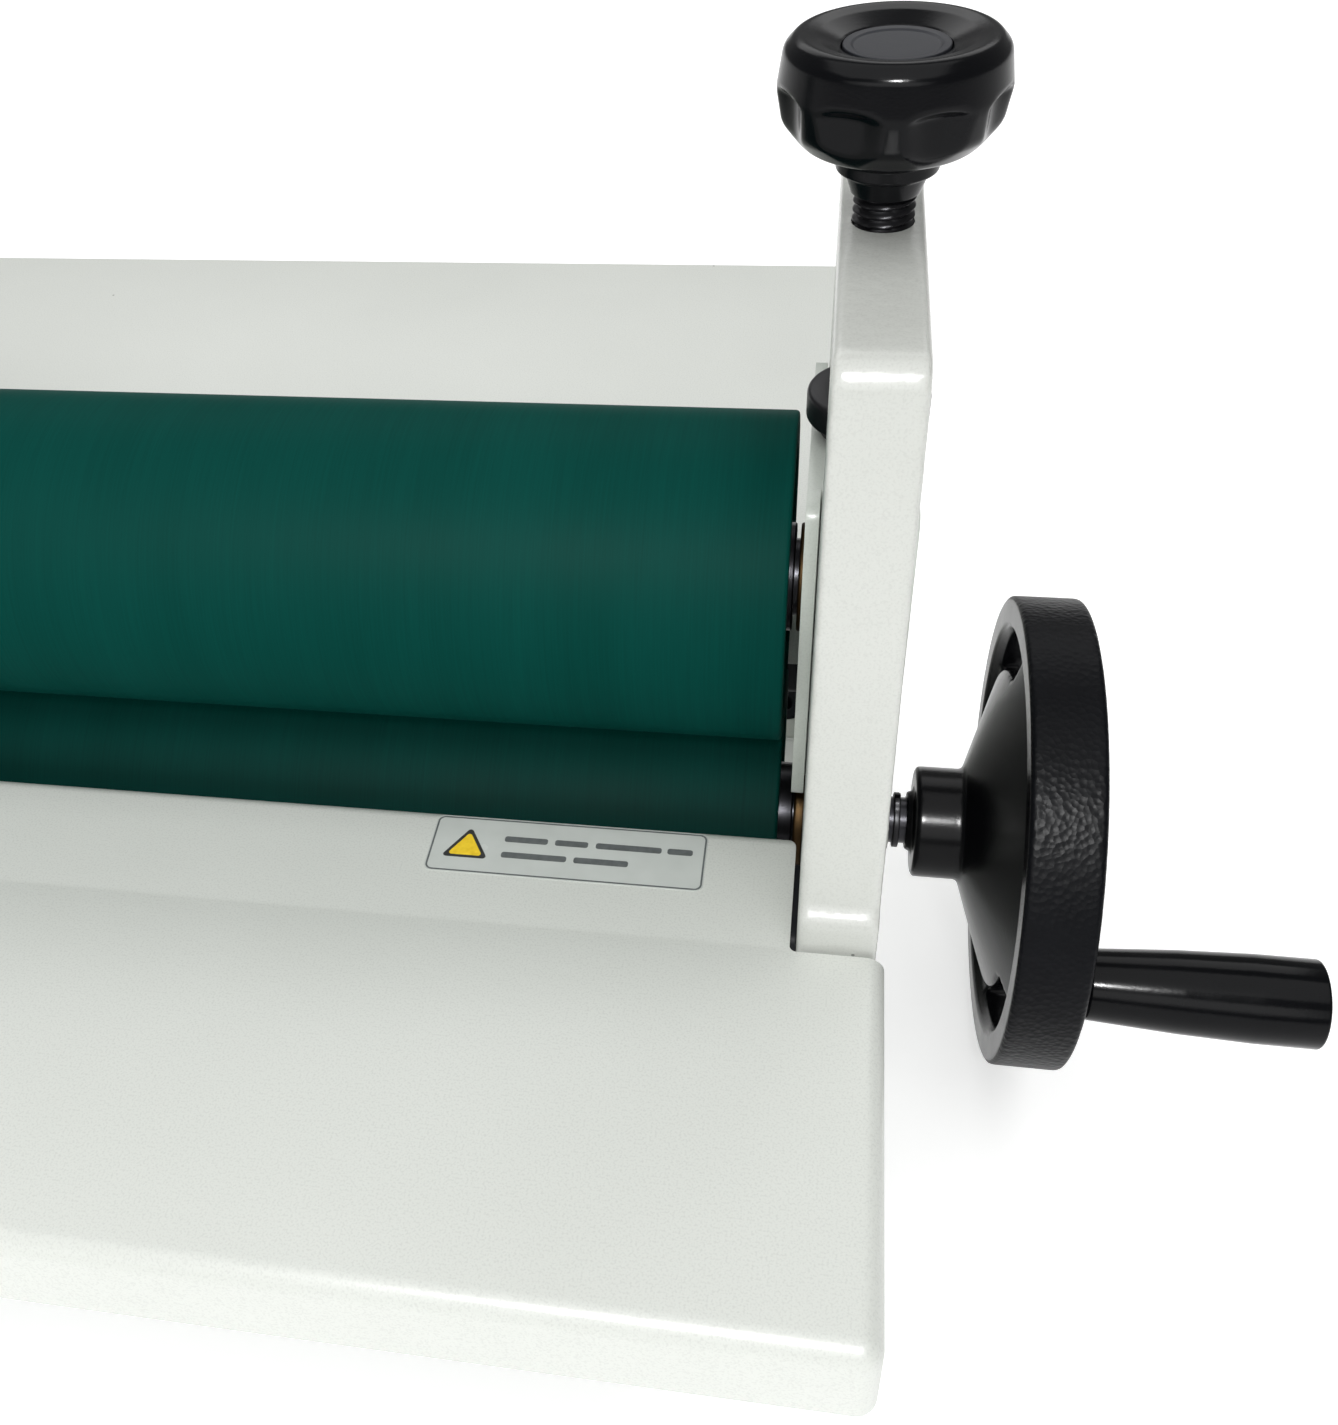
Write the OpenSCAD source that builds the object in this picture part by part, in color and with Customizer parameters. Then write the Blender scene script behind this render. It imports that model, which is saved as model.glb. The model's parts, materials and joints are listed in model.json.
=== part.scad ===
// Hand-cranked cold roll laminator, millimetres, +Z up.
// X runs along the rollers (handwheel at +X), the feeding side is -Y,
// and the origin is on the bench, half way along the rollers and straight below them.

/* [Rollers] */
// Length of the rubber covering
roller_len = 650; // [500:10:800]
// Outer diameter of a roller
roller_d = 63.7; // [63:0.1:63.9]
// Outer diameter of the steel tube inside the rubber
core_d = 50; // [46:0.5:52]
// Wall of the steel tube
core_wall = 4; // [3:0.5:6]
// Diameter of the journals that turn in the bushes
journal_d = 15; // [14:0.5:16]
// Height of the lower roller's axis below the table plane
lower_drop = 30.2; // [30.2:0.1:31]
// Height of the top roller's axis above the table plane, pressed down
upper_rise = 34.1; // [34.1:0.1:35]

/* [Tables] */
// Height of the table plane above the bench
table_h = 90; // [88:1:94]
// Distance from the rollers' plane to the front edge
front_reach = 136; // [120:1:160]
// Distance from the rollers' plane to the rear edge
rear_reach = 215; // [180:1:240]
// Half width of the slot that the rollers come up through
slot_half = 35.7; // [35:0.1:37]
// Distance from the roller's end to the table's side edge
side_reach = 20.5; // [20:0.1:24]
// Depth of the folded edges
lip_h = 17.5; // [14:0.5:20]
// Sheet thickness
sheet_t = 1.5; // [1:0.1:2]
// Outer bend radius of the folded edges
bend_r = 3.5; // [2.5:0.1:5]

/* [Side frames] */
// Gap between the roller's end and the frame's inner face
frame_gap = 5; // [5:0.1:5.5]
// Thickness of the casting
frame_t = 14; // [14:0.5:15]
// Height of the frame's top above the table plane
frame_rise = 106; // [106:1:112]
// Half depth of the frame at its top
top_half = 48.5; // [40:0.5:52]
// Half depth of the frame at the table plane
waist_half = 63.5; // [58:0.5:66]
// Half depth of the frame across its feet
base_half = 100; // [98:1:104]
// Width of the window that the bearing block slides in
window_w = 42; // [40:0.5:44]

/* [Pressure screws] */
// Thread diameter
screw_d = 10; // [9.5:0.5:10.5]
// How far the top roller lifts
lift = 18; // [10:0.5:18]
// Diameter of the lobed knob
knob_d = 35.4; // [32:0.2:40]
// Number of hollows round the knob
knob_lobes = 8; // [6:1:9]

/* [Handwheel] */
// Diameter over the rim
wheel_d = 100; // [96:1:104]
// Width of the rim along the axis
rim_w = 14; // [13:0.5:15]
// Radial thickness of the rim
rim_t = 6.5; // [6:0.5:7]
// Distance from the roller's end to the rim's inner face
rim_x = 46; // [45:0.5:48]
// Diameter of the hub
hub_d = 24; // [22:1:26]
// Radius of the handle's place on the wheel
handle_r = 38; // [37:0.5:39]
// Angle of the handle, from the rear and towards the top
handle_angle = 186; // [180:1:195]
// Length of the revolving grip
grip_len = 44; // [40:1:60]

/* [Feet] */
// Diameter of a rubber foot
foot_d = 30; // [28:1:32]
// Height of a rubber foot
foot_h = 8; // [6:0.5:10]
// Diameter of the bench-bolt holes
bolt_hole_d = 7; // [6.5:0.5:7.5]
// How far a bench-bolt hole stands in from the roller's end
bolt_inset = 3; // [2:0.5:6]
// Spacing of the bench-bolt holes across the rollers
bolt_span_y = 170; // [168:1:172]

/* [Caution label] */
// Length of the label
label_l = 53; // [40:1:60]
// Width of the label
label_w = 14.5; // [12:0.5:18]

/* [Hidden] */
$fn = 96;
arc_steps = 8;
running = 0.05;      // radial clearance of a part that turns in another
slip = 0.02;         // radial clearance of a part that is screwed or pressed in place
free = 0.3;          // gap between faces that pass each other

roller_end = roller_len / 2;
lower_z = table_h - lower_drop;
upper_z = table_h + upper_rise;
frame_in = roller_end + frame_gap;
frame_out = frame_in + frame_t;
frame_top = table_h + frame_rise;

core_inset = 3;      // the steel tube stops short of the rubber's end
plug_depth = 17;     // an end plug reaches this far in from the rubber's end
plug_r = core_d / 2 - core_wall;
journal_r = journal_d / 2;
bush_r = journal_r + 3;
bush_depth = 11;     // depth of the lower bush's seat in the casting
bush_flange = 2;
lower_collar_r = 11;
top_collar_r = 10.5;
stub_r = 5;          // the shaft outside the lower bushes
boss_len = 5;
boss_x = frame_out + boss_len;
ring_w = 1.3;
ring_r = 6;
ring_groove_r = 4.4;
stub_left = 9;       // length of the left shaft end outside the frame

waist_top = table_h + 6.5;
waist_low = table_h - 32;
shoulder_in = 2;     // the foot's shoulder stands in from its end by this much
shoulder_z = foot_h + 19;
arch_half = 54;
arch_foot = 68;
arch_top = foot_h + 20;

screw_x = frame_in + frame_t / 2;
screw_r = screw_d / 2;
block_lo = table_h + 0.5;
block_hi = table_h + 67;
block_half = window_w / 2 - 0.2;
flange_half = 27;
flange_in = roller_end + 1;
block_in = frame_in - free;
block_out = frame_out + free;
keeper_t = 2;
keeper_half = 25;
keeper_inset = 2;    // the keeper plate is this much shorter than the block at each end
keeper_screw_y = 14;
keeper_screw_z = [block_lo + 7, block_hi - 7];
keeper_screw_r = 2;
keeper_head_r = 3.5;
keeper_sink = 1.5;   // depth of the countersinks
keeper_slot_w = 1;
keeper_slot_t = 0.8;
spigot_r = 4;
spigot_len = 14;
neck_r = 2.9;
retainer_z = block_hi - 7;
retainer_r = 1.5;
retainer_y = neck_r + retainer_r + 0.15;
retainer_in = block_in + 1.5;
collar_lo = block_hi + free;
collar_step = 3;
collar_hi = table_h + 75.5;
window_lo = table_h - 2;
window_hi = collar_hi + lift + 0.5; // the collar comes up to here with the roller lifted
collar_r = 10.7;
collar_small_r = 8.3;
knob_lo = table_h + 111;
knob_base = table_h + 117.5;
knob_top = table_h + 135.5;
knob_r = knob_d / 2;
cap_r = 8.2;
cap_z = table_h + 133.2;
cap_t = 2;
knob_bore_hi = table_h + 129;

rail_w = 20;
rail_h = 30;
rail_wall = 2;
rail_y = 51;
rail_hi = table_h - sheet_t;
rail_z = rail_hi - rail_h / 2;
rail_block = 14;     // solid end of a rail, which the side screws go into
rail_screw_r = 4;
rail_head_r = 6.5;
rail_head_t = 7.5;
rail_head_seat = 8;
rail_hex_r = 3.4;
hole_slack = 0.25;   // radial slack of a screw's clearance hole
stud_r = 2.5;
stud_out = roller_end - 35;
stud_mid = 100;
stud_x = [-stud_out, -stud_mid, stud_mid, stud_out];
nut_r = 4.6;
nut_t = 4;
stud_len = rail_h + 7;

notch_gap = 1;       // gap between a table's cut-out and the casting
table_out = roller_end + side_reach;
table_in = frame_in - notch_gap;
notch_y = waist_half + notch_gap;

lug_in = roller_end - 19;
lug_half = 15;       // half width of a lug, and its distance in from the foot's end
lug_t = 10;
gusset_t = 4;
gusset_h = 22;
spigot_foot_r = 7;
hole_x = roller_end - bolt_inset;
hole_y = bolt_span_y / 2;

rim_in = roller_end + rim_x;
rim_out = rim_in + rim_w;
wheel_r = wheel_d / 2;
rim_r = wheel_r - rim_t;
hub_r = hub_d / 2;
hub_in = frame_out + 9.5;
hub_out = rim_in - 1;
web_t = 4;
collar_wheel_r = 6.5;
window_r = [34, 42.5];
window_sweep = 58;
window_at = [45, 225];
handle_boss_r = 8.5;
shaft_out = hub_out - 0.5;
wheel_screw_r = 2.5;
grub_x = hub_in + 5;
grub_r = 2.5;
spindle_r = 3.5;
spindle_thread_r = 3;
spindle_head_r = 5.2;
grip_r = 8.6;
grip_in = rim_out + 0.5;
grip_out = grip_in + grip_len;
head_in = grip_out - 8;
head_t = 3;
recess_r = 5.7;
plug_t = 3;

label_x = roller_end - 39;
label_y = -slot_half - 9.5;
label_t = 0.3;

paint = [0.84, 0.87, 0.83];
green = [0.05, 0.30, 0.26];
black = [0.13, 0.13, 0.15];
steel = [0.72, 0.73, 0.75];
bronze = [0.72, 0.55, 0.30];
grey = [0.28, 0.28, 0.30];
film = [0.93, 0.93, 0.90];

// ---- outlines with round corners: each point is [x, y, corner radius] ----

function unit(v) = v / norm(v);
function corner(a, b, c, r) =
  let (u = unit(a - b), v = unit(c - b), half = acos(u * v) / 2,
       m = b + unit(u + v) * r / sin(half),
       s = b + u * r / tan(half) - m, e = b + v * r / tan(half) - m,
       from = atan2(s.y, s.x), turn = (atan2(e.y, e.x) - from + 540) % 360 - 180)
  [for (i = [0:arc_steps]) m + r * [cos(from + turn * i / arc_steps), sin(from + turn * i / arc_steps)]];
function flat(p) = [p.x, p.y];
function rounded(p) = let (n = len(p))
  [for (i = [0:n - 1]) let (b = p[i]) each b.z > 0
    ? corner(flat(p[(i + n - 1) % n]), flat(b), flat(p[(i + 1) % n]), b.z)
    : [flat(b)]];
function mirrored(p) = concat(p, [for (i = [len(p) - 1:-1:0]) [-p[i].x, p[i].y, p[i].z]]);

module rounded_box(half, low, high, r) {
  polygon(rounded([[-half, low, r], [half, low, r], [half, high, r], [-half, high, r]]));
}

// ---- placing ----

module side(s) { if (s > 0) children(); else mirror([1, 0, 0]) children(); }
module yz(x0, x1) { translate([x0, 0, 0]) rotate([90, 0, 90]) linear_extrude(x1 - x0) children(); }
module xz(y0, y1) { translate([0, y1, 0]) rotate([90, 0, 0]) linear_extrude(y1 - y0) children(); }
module rod_x(x0, x1, r, y = 0, z = 0) {
  translate([x0, y, z]) rotate([0, 90, 0]) cylinder(h = x1 - x0, r = r);
}
module turned_x(y, z) { translate([0, y, z]) rotate([0, 90, 0]) rotate_extrude() children(); }
module tube_x(x0, x1, r_out, r_in, z) {
  difference() {
    rod_x(x0, x1, r_out, 0, z);
    rod_x(x0 - 1, x1 + 1, r_in, 0, z);
  }
}

// ---- side frames ----

module frame_outline() {
  polygon(rounded(mirrored([[top_half, frame_top, 5], [waist_half, waist_top, 8],
    [waist_half, waist_low, 20], [base_half - shoulder_in, shoulder_z, 8], [base_half, foot_h, 2.5],
    [arch_foot, foot_h, 5], [arch_half, arch_top, 10]])));
}

// a lug that the foot is pushed into, with a gusset up the casting's inner face
module foot_lug(sy) {
  translate([0, sy * (base_half - lug_half), foot_h]) linear_extrude(lug_t)
    polygon(rounded([[lug_in, -lug_half, 6], [frame_out, -lug_half, 0], [frame_out, lug_half, 0],
      [lug_in, lug_half, 6]]));
  translate([0, sy * (base_half - 3) + gusset_t / 2, 0]) rotate([90, 0, 0]) linear_extrude(gusset_t)
    polygon([[lug_in + 8, foot_h + gusset_t], [frame_in + gusset_t, foot_h + gusset_t],
      [frame_in + gusset_t, foot_h + gusset_h], [frame_in, foot_h + gusset_h]]);
}

module boss() {
  turned_x(0, lower_z) polygon([[0, frame_out - 1], [8.6, frame_out - 1], [8.3, frame_out],
    [7.2, boss_x - 0.8], [6.6, boss_x], [0, boss_x]]);
}

module side_frame() {
  difference() {
    union() {
      yz(frame_in, frame_out) frame_outline();
      for (sy = [-1, 1]) foot_lug(sy);
      boss();
    }
    yz(frame_in - 1, frame_out + 1) rounded_box(window_w / 2, window_lo, window_hi, 3);
    rod_x(frame_in - 1, frame_in + bush_depth, bush_r, 0, lower_z);
    rod_x(frame_in, boss_x + 1, stub_r + 0.6, 0, lower_z);
    translate([screw_x, 0, window_hi - 1]) cylinder(h = 20, r = screw_r + running);
    for (sy = [-1, 1]) {
      rod_x(frame_in - 1, frame_out + 1, rail_screw_r + hole_slack, sy * rail_y, rail_z);
      rod_x(frame_out - rail_head_seat, frame_out + 1, rail_head_r + 2 * hole_slack, sy * rail_y, rail_z);
      translate([hole_x, sy * hole_y, 0]) cylinder(h = 40, r = spigot_foot_r);
    }
  }
}
module side_frame_left() color(paint) side(-1) side_frame();
module side_frame_right() color(paint) side(1) side_frame();

// ---- tables: a folded pan with cut-outs round the side frames ----

function arched(a, b, low, top, r) = rounded([[a, low, 0], [a, top, r], [b, top, r], [b, low, 0]]);
module pan_block(near, far, reach, top, round_r, low) {
  intersection() {
    yz(-reach, reach) polygon(arched(near, far, low, top, round_r));
    xz(near, far) polygon(arched(-reach, reach, low, top, round_r));
  }
}

module table(edge) {
  low = table_h - lip_h;
  intersection() {
    difference() {
      pan_block(slot_half, edge, table_out, table_h, bend_r, low);
      pan_block(slot_half + sheet_t, edge - sheet_t, table_out - sheet_t, table_h - sheet_t,
        bend_r - sheet_t, low - 1);
    }
    translate([0, 0, low - 1]) linear_extrude(lip_h + 2)
      polygon(rounded(mirrored([[table_in, slot_half, 4], [table_in, notch_y, 1],
        [table_out, notch_y, 2.5], [table_out, edge, 2]])));
  }
}
module front_table() color(paint) mirror([0, 1, 0]) table(front_reach);
module rear_table() color(paint) table(rear_reach);

module caution_label() {
  color(film) translate([label_x, label_y, table_h]) linear_extrude(label_t)
    rounded_box(label_l / 2, -label_w / 2, label_w / 2, 1.5);
}

// ---- rails between the side frames, which carry the tables ----

module bar(half_l, w, h, y, z) { translate([-half_l, y - w / 2, z - h / 2]) cube([2 * half_l, w, h]); }

module rail(sy) {
  difference() {
    bar(frame_in, rail_w, rail_h, sy * rail_y, rail_z);
    bar(frame_in - rail_block, rail_w - 2 * rail_wall, rail_h - 2 * rail_wall, sy * rail_y, rail_z);
    for (sx = [-1, 1]) side(sx)
      rod_x(frame_in - rail_block - 1, frame_in + 1, rail_screw_r + slip, sy * rail_y, rail_z);
    for (x = stud_x) translate([x, sy * rail_y, rail_hi - rail_h - 1])
      cylinder(h = rail_h + 2, r = stud_r + hole_slack);
  }
}
module front_rail() color(black) rail(-1);
module rear_rail() color(black) rail(1);

module rail_screws() {
  seat = frame_out - rail_head_seat;
  color(steel) for (sx = [-1, 1], sy = [-1, 1]) side(sx) difference() {
    union() {
      rod_x(frame_in - rail_block + 1, seat + 1, rail_screw_r, sy * rail_y, rail_z);
      rod_x(seat, seat + rail_head_t, rail_head_r, sy * rail_y, rail_z);
    }
    translate([seat + rail_head_t - 4, sy * rail_y, rail_z]) rotate([0, 90, 0])
      cylinder(h = 8, r = rail_hex_r, $fn = 6);
  }
}

module table_studs() {
  color(steel) for (x = stud_x, sy = [-1, 1])
    translate([x, sy * rail_y, rail_hi - stud_len]) cylinder(h = stud_len, r = stud_r);
}

module table_nuts() {
  color(steel) for (x = stud_x, sy = [-1, 1])
    translate([x, sy * rail_y, rail_hi - rail_h - nut_t]) difference() {
      cylinder(h = nut_t, r = nut_r, $fn = 6);
      translate([0, 0, -1]) cylinder(h = nut_t + 2, r = stud_r + slip);
    }
}

// ---- feet: a rubber pad with a spigot pushed up into the casting, bored for a bench bolt ----

module foot(sx, sy) {
  color(black) translate([sx * hole_x, sy * hole_y, 0]) rotate_extrude()
    polygon([[bolt_hole_d / 2, 0], [foot_d / 2 - 1.5, 0], [foot_d / 2, 1.5], [foot_d / 2 - 1, foot_h],
      [spigot_foot_r, foot_h], [spigot_foot_r, foot_h + lug_t], [bolt_hole_d / 2, foot_h + lug_t]]);
}
module foot_front_left() foot(-1, -1);
module foot_front_right() foot(1, -1);
module foot_rear_left() foot(-1, 1);
module foot_rear_right() foot(1, 1);

// ---- lower roller and its drive ----

module bush(x0, x1, z, flange) {
  tube_x(x0, x1, bush_r, journal_r + running, z);
  if (flange > 0) tube_x(x0 - flange, x0, bush_r + 2.5, journal_r + running, z);
}
module lower_bush_left() color(bronze) side(-1) bush(frame_in, frame_in + bush_depth, lower_z, bush_flange);
module lower_bush_right() color(bronze) side(1) bush(frame_in, frame_in + bush_depth, lower_z, bush_flange);

module roller_core(z) {
  tube_x(core_inset - roller_end, roller_end - core_inset, core_d / 2, plug_r, z);
}
module roller_sleeve(z) tube_x(-roller_end, roller_end, roller_d / 2, core_d / 2, z);
module lower_roller_core() color(steel) roller_core(lower_z);
module lower_roller_sleeve() color(green) roller_sleeve(lower_z);

module plug(collar_to, collar, journal_to, z) {
  rod_x(roller_end - plug_depth, roller_end - core_inset, plug_r, 0, z);
  rod_x(roller_end - core_inset - 1, collar_to, collar, 0, z);
  rod_x(collar_to - 1, journal_to, journal_r, 0, z);
}

// the lower plugs carry a thinner shaft end that runs out through the casting's boss
module driven_plug(stub_to) {
  difference() {
    union() {
      plug(frame_in - bush_flange - free, lower_collar_r, frame_in + bush_depth, lower_z);
      rod_x(frame_in + bush_depth - 1, stub_to, stub_r, 0, lower_z);
    }
    tube_x(boss_x + free, boss_x + free + ring_w, stub_r + 1, ring_groove_r - slip, lower_z);
  }
}
module lower_plug_left() color(steel) side(-1) driven_plug(frame_out + stub_left);
module drive_shaft() {
  color(steel) difference() {
    driven_plug(shaft_out);
    rod_x(shaft_out - 12, shaft_out + 1, wheel_screw_r + slip, 0, lower_z);
  }
}
module shaft_rings() {
  color(black) for (sx = [-1, 1]) side(sx)
    tube_x(boss_x + free, boss_x + free + ring_w, ring_r, ring_groove_r, lower_z);
}

// ---- handwheel: dished web with two windows, rim, hub and handle boss ----

module wheel_profile() {
  polygon([[0, hub_in - 1.5], [collar_wheel_r, hub_in - 1.5], [collar_wheel_r, hub_in],
    [hub_r - 1, hub_in], [hub_r, hub_in + 1], [hub_r, hub_in + 10], [rim_r - 1, rim_in + 2.5],
    [rim_r, rim_in + 0.5], [rim_r + 1, rim_in], [wheel_r - 2, rim_in], [wheel_r - 0.6, rim_in + 0.6],
    [wheel_r, rim_in + 2], [wheel_r, rim_out - 2], [wheel_r - 0.6, rim_out - 0.6],
    [wheel_r - 2, rim_out], [rim_r + 1, rim_out], [rim_r, rim_out - 1],
    [rim_r - 1, rim_in + 2.5 + web_t], [hub_r + 2, hub_in + 10 + web_t], [hub_r - 2, hub_out], [0, hub_out]]);
}

module web_window(at) {
  rotate([0, 0, at - window_sweep / 2]) rotate_extrude(angle = window_sweep)
    polygon([[window_r[0], hub_in], [window_r[1], hub_in], [window_r[1], rim_out], [window_r[0], rim_out]]);
}

// the wheel is drawn about +Z with angle 0 on +X, then turned so that Z points along the rollers
module on_wheel() { translate([0, 0, lower_z]) rotate([90, 0, 90]) children(); }

module handwheel() {
  color(black) difference() {
    on_wheel() union() {
      difference() {
        rotate_extrude() wheel_profile();
        for (at = window_at) web_window(at);
      }
      rotate([0, 0, handle_angle]) translate([handle_r, 0, rim_in + 3])
        cylinder(h = rim_w - 3, r = handle_boss_r);
    }
    rod_x(hub_in - 2, hub_out + 1, stub_r + slip, 0, lower_z);
    on_wheel() rotate([0, 0, handle_angle]) translate([handle_r, 0, rim_in])
      cylinder(h = rim_w + 1, r = spindle_thread_r + slip);
    on_wheel() rotate([0, 0, 90]) translate([0, 0, grub_x]) rotate([0, 90, 0])
      cylinder(h = hub_r + 2, r = grub_r + slip);
  }
}

module wheel_grub_screw() {
  color(steel) on_wheel() rotate([0, 0, 90]) translate([0, 0, grub_x]) rotate([0, 90, 0])
    translate([0, 0, stub_r + slip]) difference() {
      cylinder(h = hub_r - stub_r - 1, r = grub_r);
      translate([0, 0, hub_r - stub_r - 4]) cylinder(h = 4, r = 1.4, $fn = 6);
    }
}

module wheel_washer() { color(steel) tube_x(hub_out, hub_out + 1.5, 8, wheel_screw_r + slip, lower_z); }

module wheel_screw() {
  color(steel) difference() {
    union() {
      rod_x(shaft_out - 11, hub_out + 2, wheel_screw_r, 0, lower_z);
      rod_x(hub_out + 1.5, hub_out + 6, 4.25, 0, lower_z);
    }
    translate([hub_out + 3.5, 0, lower_z]) rotate([0, 90, 0]) cylinder(h = 4, r = 2.3, $fn = 6);
  }
}

module on_handle() { on_wheel() rotate([0, 0, handle_angle]) translate([handle_r, 0, 0]) children(); }

module handle_spindle() {
  color(steel) on_handle() union() {
    translate([0, 0, rim_in + 3]) cylinder(h = rim_w - 2, r = spindle_thread_r);
    translate([0, 0, rim_out]) cylinder(h = head_in + 1 - rim_out, r = spindle_r);
    translate([0, 0, head_in]) cylinder(h = head_t, r = spindle_head_r);
  }
}

module handle_grip() {
  color(black) on_handle() rotate_extrude() polygon([[spindle_r + running, grip_in], [6.3, grip_in],
    [7, grip_in + 1], [8.1, grip_in + 18], [grip_r, grip_in + 32], [grip_r, grip_out - 0.8],
    [grip_r - 0.6, grip_out],
    [recess_r, grip_out], [recess_r, head_in - free], [spindle_r + running, head_in - free]]);
}

module grip_end_cap() {
  color(black) on_handle() translate([0, 0, grip_out - plug_t])
    cylinder(h = plug_t - 0.4, r = recess_r - slip);
}

// ---- top roller ----

module top_roller_core() color(steel) roller_core(upper_z);
module top_roller_sleeve() color(green) roller_sleeve(upper_z);
module top_plug() plug(flange_in - free, top_collar_r, frame_out - 0.5, upper_z);
module top_plug_left() color(steel) side(-1) top_plug();
module top_plug_right() color(steel) side(1) top_plug();

// ---- bearing blocks that slide in the side frames' windows ----

module bearing_block() {
  difference() {
    union() {
      yz(block_in, block_out) rounded_box(block_half, block_lo, block_hi, 1.5);
      yz(flange_in, block_in) rounded_box(flange_half, block_lo, block_hi, 3);
    }
    rod_x(flange_in - 1, block_out + 1, bush_r, 0, upper_z);
    translate([screw_x, 0, block_hi - spigot_len - 1])
      cylinder(h = spigot_len + 2, r = spigot_r + running);
    for (sy = [-1, 1]) {
      rod_x(retainer_in, block_out + 1, retainer_r, sy * retainer_y, retainer_z);
      for (z = keeper_screw_z)
        rod_x(block_out - 8, block_out + 1, keeper_screw_r + slip, sy * keeper_screw_y, z);
    }
  }
}
module bearing_block_left() color(paint) side(-1) bearing_block();
module bearing_block_right() color(paint) side(1) bearing_block();

module top_bush_left() color(bronze) side(-1) bush(flange_in + 0.5, frame_out, upper_z, 0);
module top_bush_right() color(bronze) side(1) bush(flange_in + 0.5, frame_out, upper_z, 0);

// a countersunk screw from x0 to past above the keeper plate's face, or its hole
module countersunk(x0, past, slack, sy, z) {
  face = block_out + keeper_t;
  turned_x(sy * keeper_screw_y, z) polygon([[0, x0], [keeper_screw_r + slack, x0],
    [keeper_screw_r + slack, face - keeper_sink], [keeper_head_r + slack, face],
    [keeper_head_r + slack, face + past], [0, face + past]]);
}

module keeper_plate() {
  difference() {
    yz(block_out, block_out + keeper_t)
      rounded_box(keeper_half, block_lo + keeper_inset, block_hi - keeper_inset, 3);
    for (sy = [-1, 1], z = keeper_screw_z) countersunk(block_out - 1, 1, hole_slack, sy, z);
  }
}
module keeper_plate_left() color(paint) side(-1) keeper_plate();
module keeper_plate_right() color(paint) side(1) keeper_plate();

module keeper_screws() {
  top = block_out + keeper_t + 0.1;
  color(steel) for (sx = [-1, 1], sy = [-1, 1], z = keeper_screw_z) side(sx) difference() {
    countersunk(block_out - 7, 0.1, 0, sy, z);
    translate([top - keeper_slot_t, sy * keeper_screw_y - keeper_slot_w / 2, z - keeper_head_r - 1])
      cube([keeper_slot_t + 1, keeper_slot_w, 2 * keeper_head_r + 2]);
  }
}

module retaining_pins() {
  color(steel) for (sx = [-1, 1], sy = [-1, 1]) side(sx)
    rod_x(retainer_in, block_out, retainer_r, sy * retainer_y, retainer_z);
}

// ---- pressure screws, collars and knobs ----

module pressure_screw() {
  groove = 2 * retainer_r + 0.6;
  translate([screw_x, 0, 0]) rotate_extrude() polygon([[0, block_hi - spigot_len],
    [spigot_r - 0.6, block_hi - spigot_len], [spigot_r, block_hi - spigot_len + 0.6],
    [spigot_r, retainer_z - groove / 2], [neck_r, retainer_z - groove / 2],
    [neck_r, retainer_z + groove / 2], [spigot_r, retainer_z + groove / 2],
    [spigot_r, collar_lo], [screw_r, collar_lo], [screw_r, knob_bore_hi - 0.6],
    [screw_r - 0.6, knob_bore_hi], [0, knob_bore_hi]]);
}
module pressure_screw_left() color(black) side(-1) pressure_screw();
module pressure_screw_right() color(black) side(1) pressure_screw();

module screw_collar() {
  step_z = collar_lo + collar_step;
  translate([screw_x, 0, 0]) rotate_extrude() polygon([[screw_r + slip, collar_lo],
    [collar_small_r, collar_lo], [collar_small_r, step_z], [collar_r, step_z], [collar_r, collar_hi - 0.8],
    [collar_r - 0.8, collar_hi], [screw_r + slip, collar_hi]]);
}
module screw_collar_left() color(black) side(-1) screw_collar();
module screw_collar_right() color(black) side(1) screw_collar();

module knob_profile() {
  polygon([[0, knob_lo], [screw_r + 0.4, knob_lo], [8.1, knob_lo + 4], [8.1, knob_base - 0.5],
    [9, knob_base], [13.6, knob_base + 2], [knob_r - 1, knob_base + 5.5], [knob_r, knob_base + 8],
    [knob_r, knob_base + 12.5], [knob_r - 1.2, knob_top - 2], [knob_r - 3, knob_top], [12.6, knob_top],
    [10.4, cap_z + 0.7], [cap_r + 0.4, cap_z], [cap_r, cap_z - cap_t], [0, cap_z - cap_t]]);
}

module pressure_knob() {
  flute_r = 9;
  flute_depth = 1.9;
  flute_top = knob_base + 11.5;
  translate([screw_x, 0, 0]) difference() {
    rotate_extrude() knob_profile();
    for (i = [0:knob_lobes - 1]) rotate([0, 0, (i + 0.5) * 360 / knob_lobes])
      translate([knob_r + flute_r - flute_depth, 0, knob_lo]) cylinder(h = flute_top - knob_lo, r = flute_r);
    translate([0, 0, knob_lo - 1]) cylinder(h = knob_bore_hi - knob_lo + 1, r = screw_r + slip);
  }
}
module pressure_knob_left() color(black) side(-1) pressure_knob();
module pressure_knob_right() color(black) side(1) pressure_knob();

module knob_cap() {
  translate([screw_x, 0, cap_z - cap_t]) difference() {
    cylinder(h = cap_t, r = cap_r - slip);
    translate([0, 0, cap_t - 0.4]) cylinder(h = 1, r = cap_r - 1.2);
  }
}
module knob_cap_left() color(grey) side(-1) knob_cap();
module knob_cap_right() color(grey) side(1) knob_cap();

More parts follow.
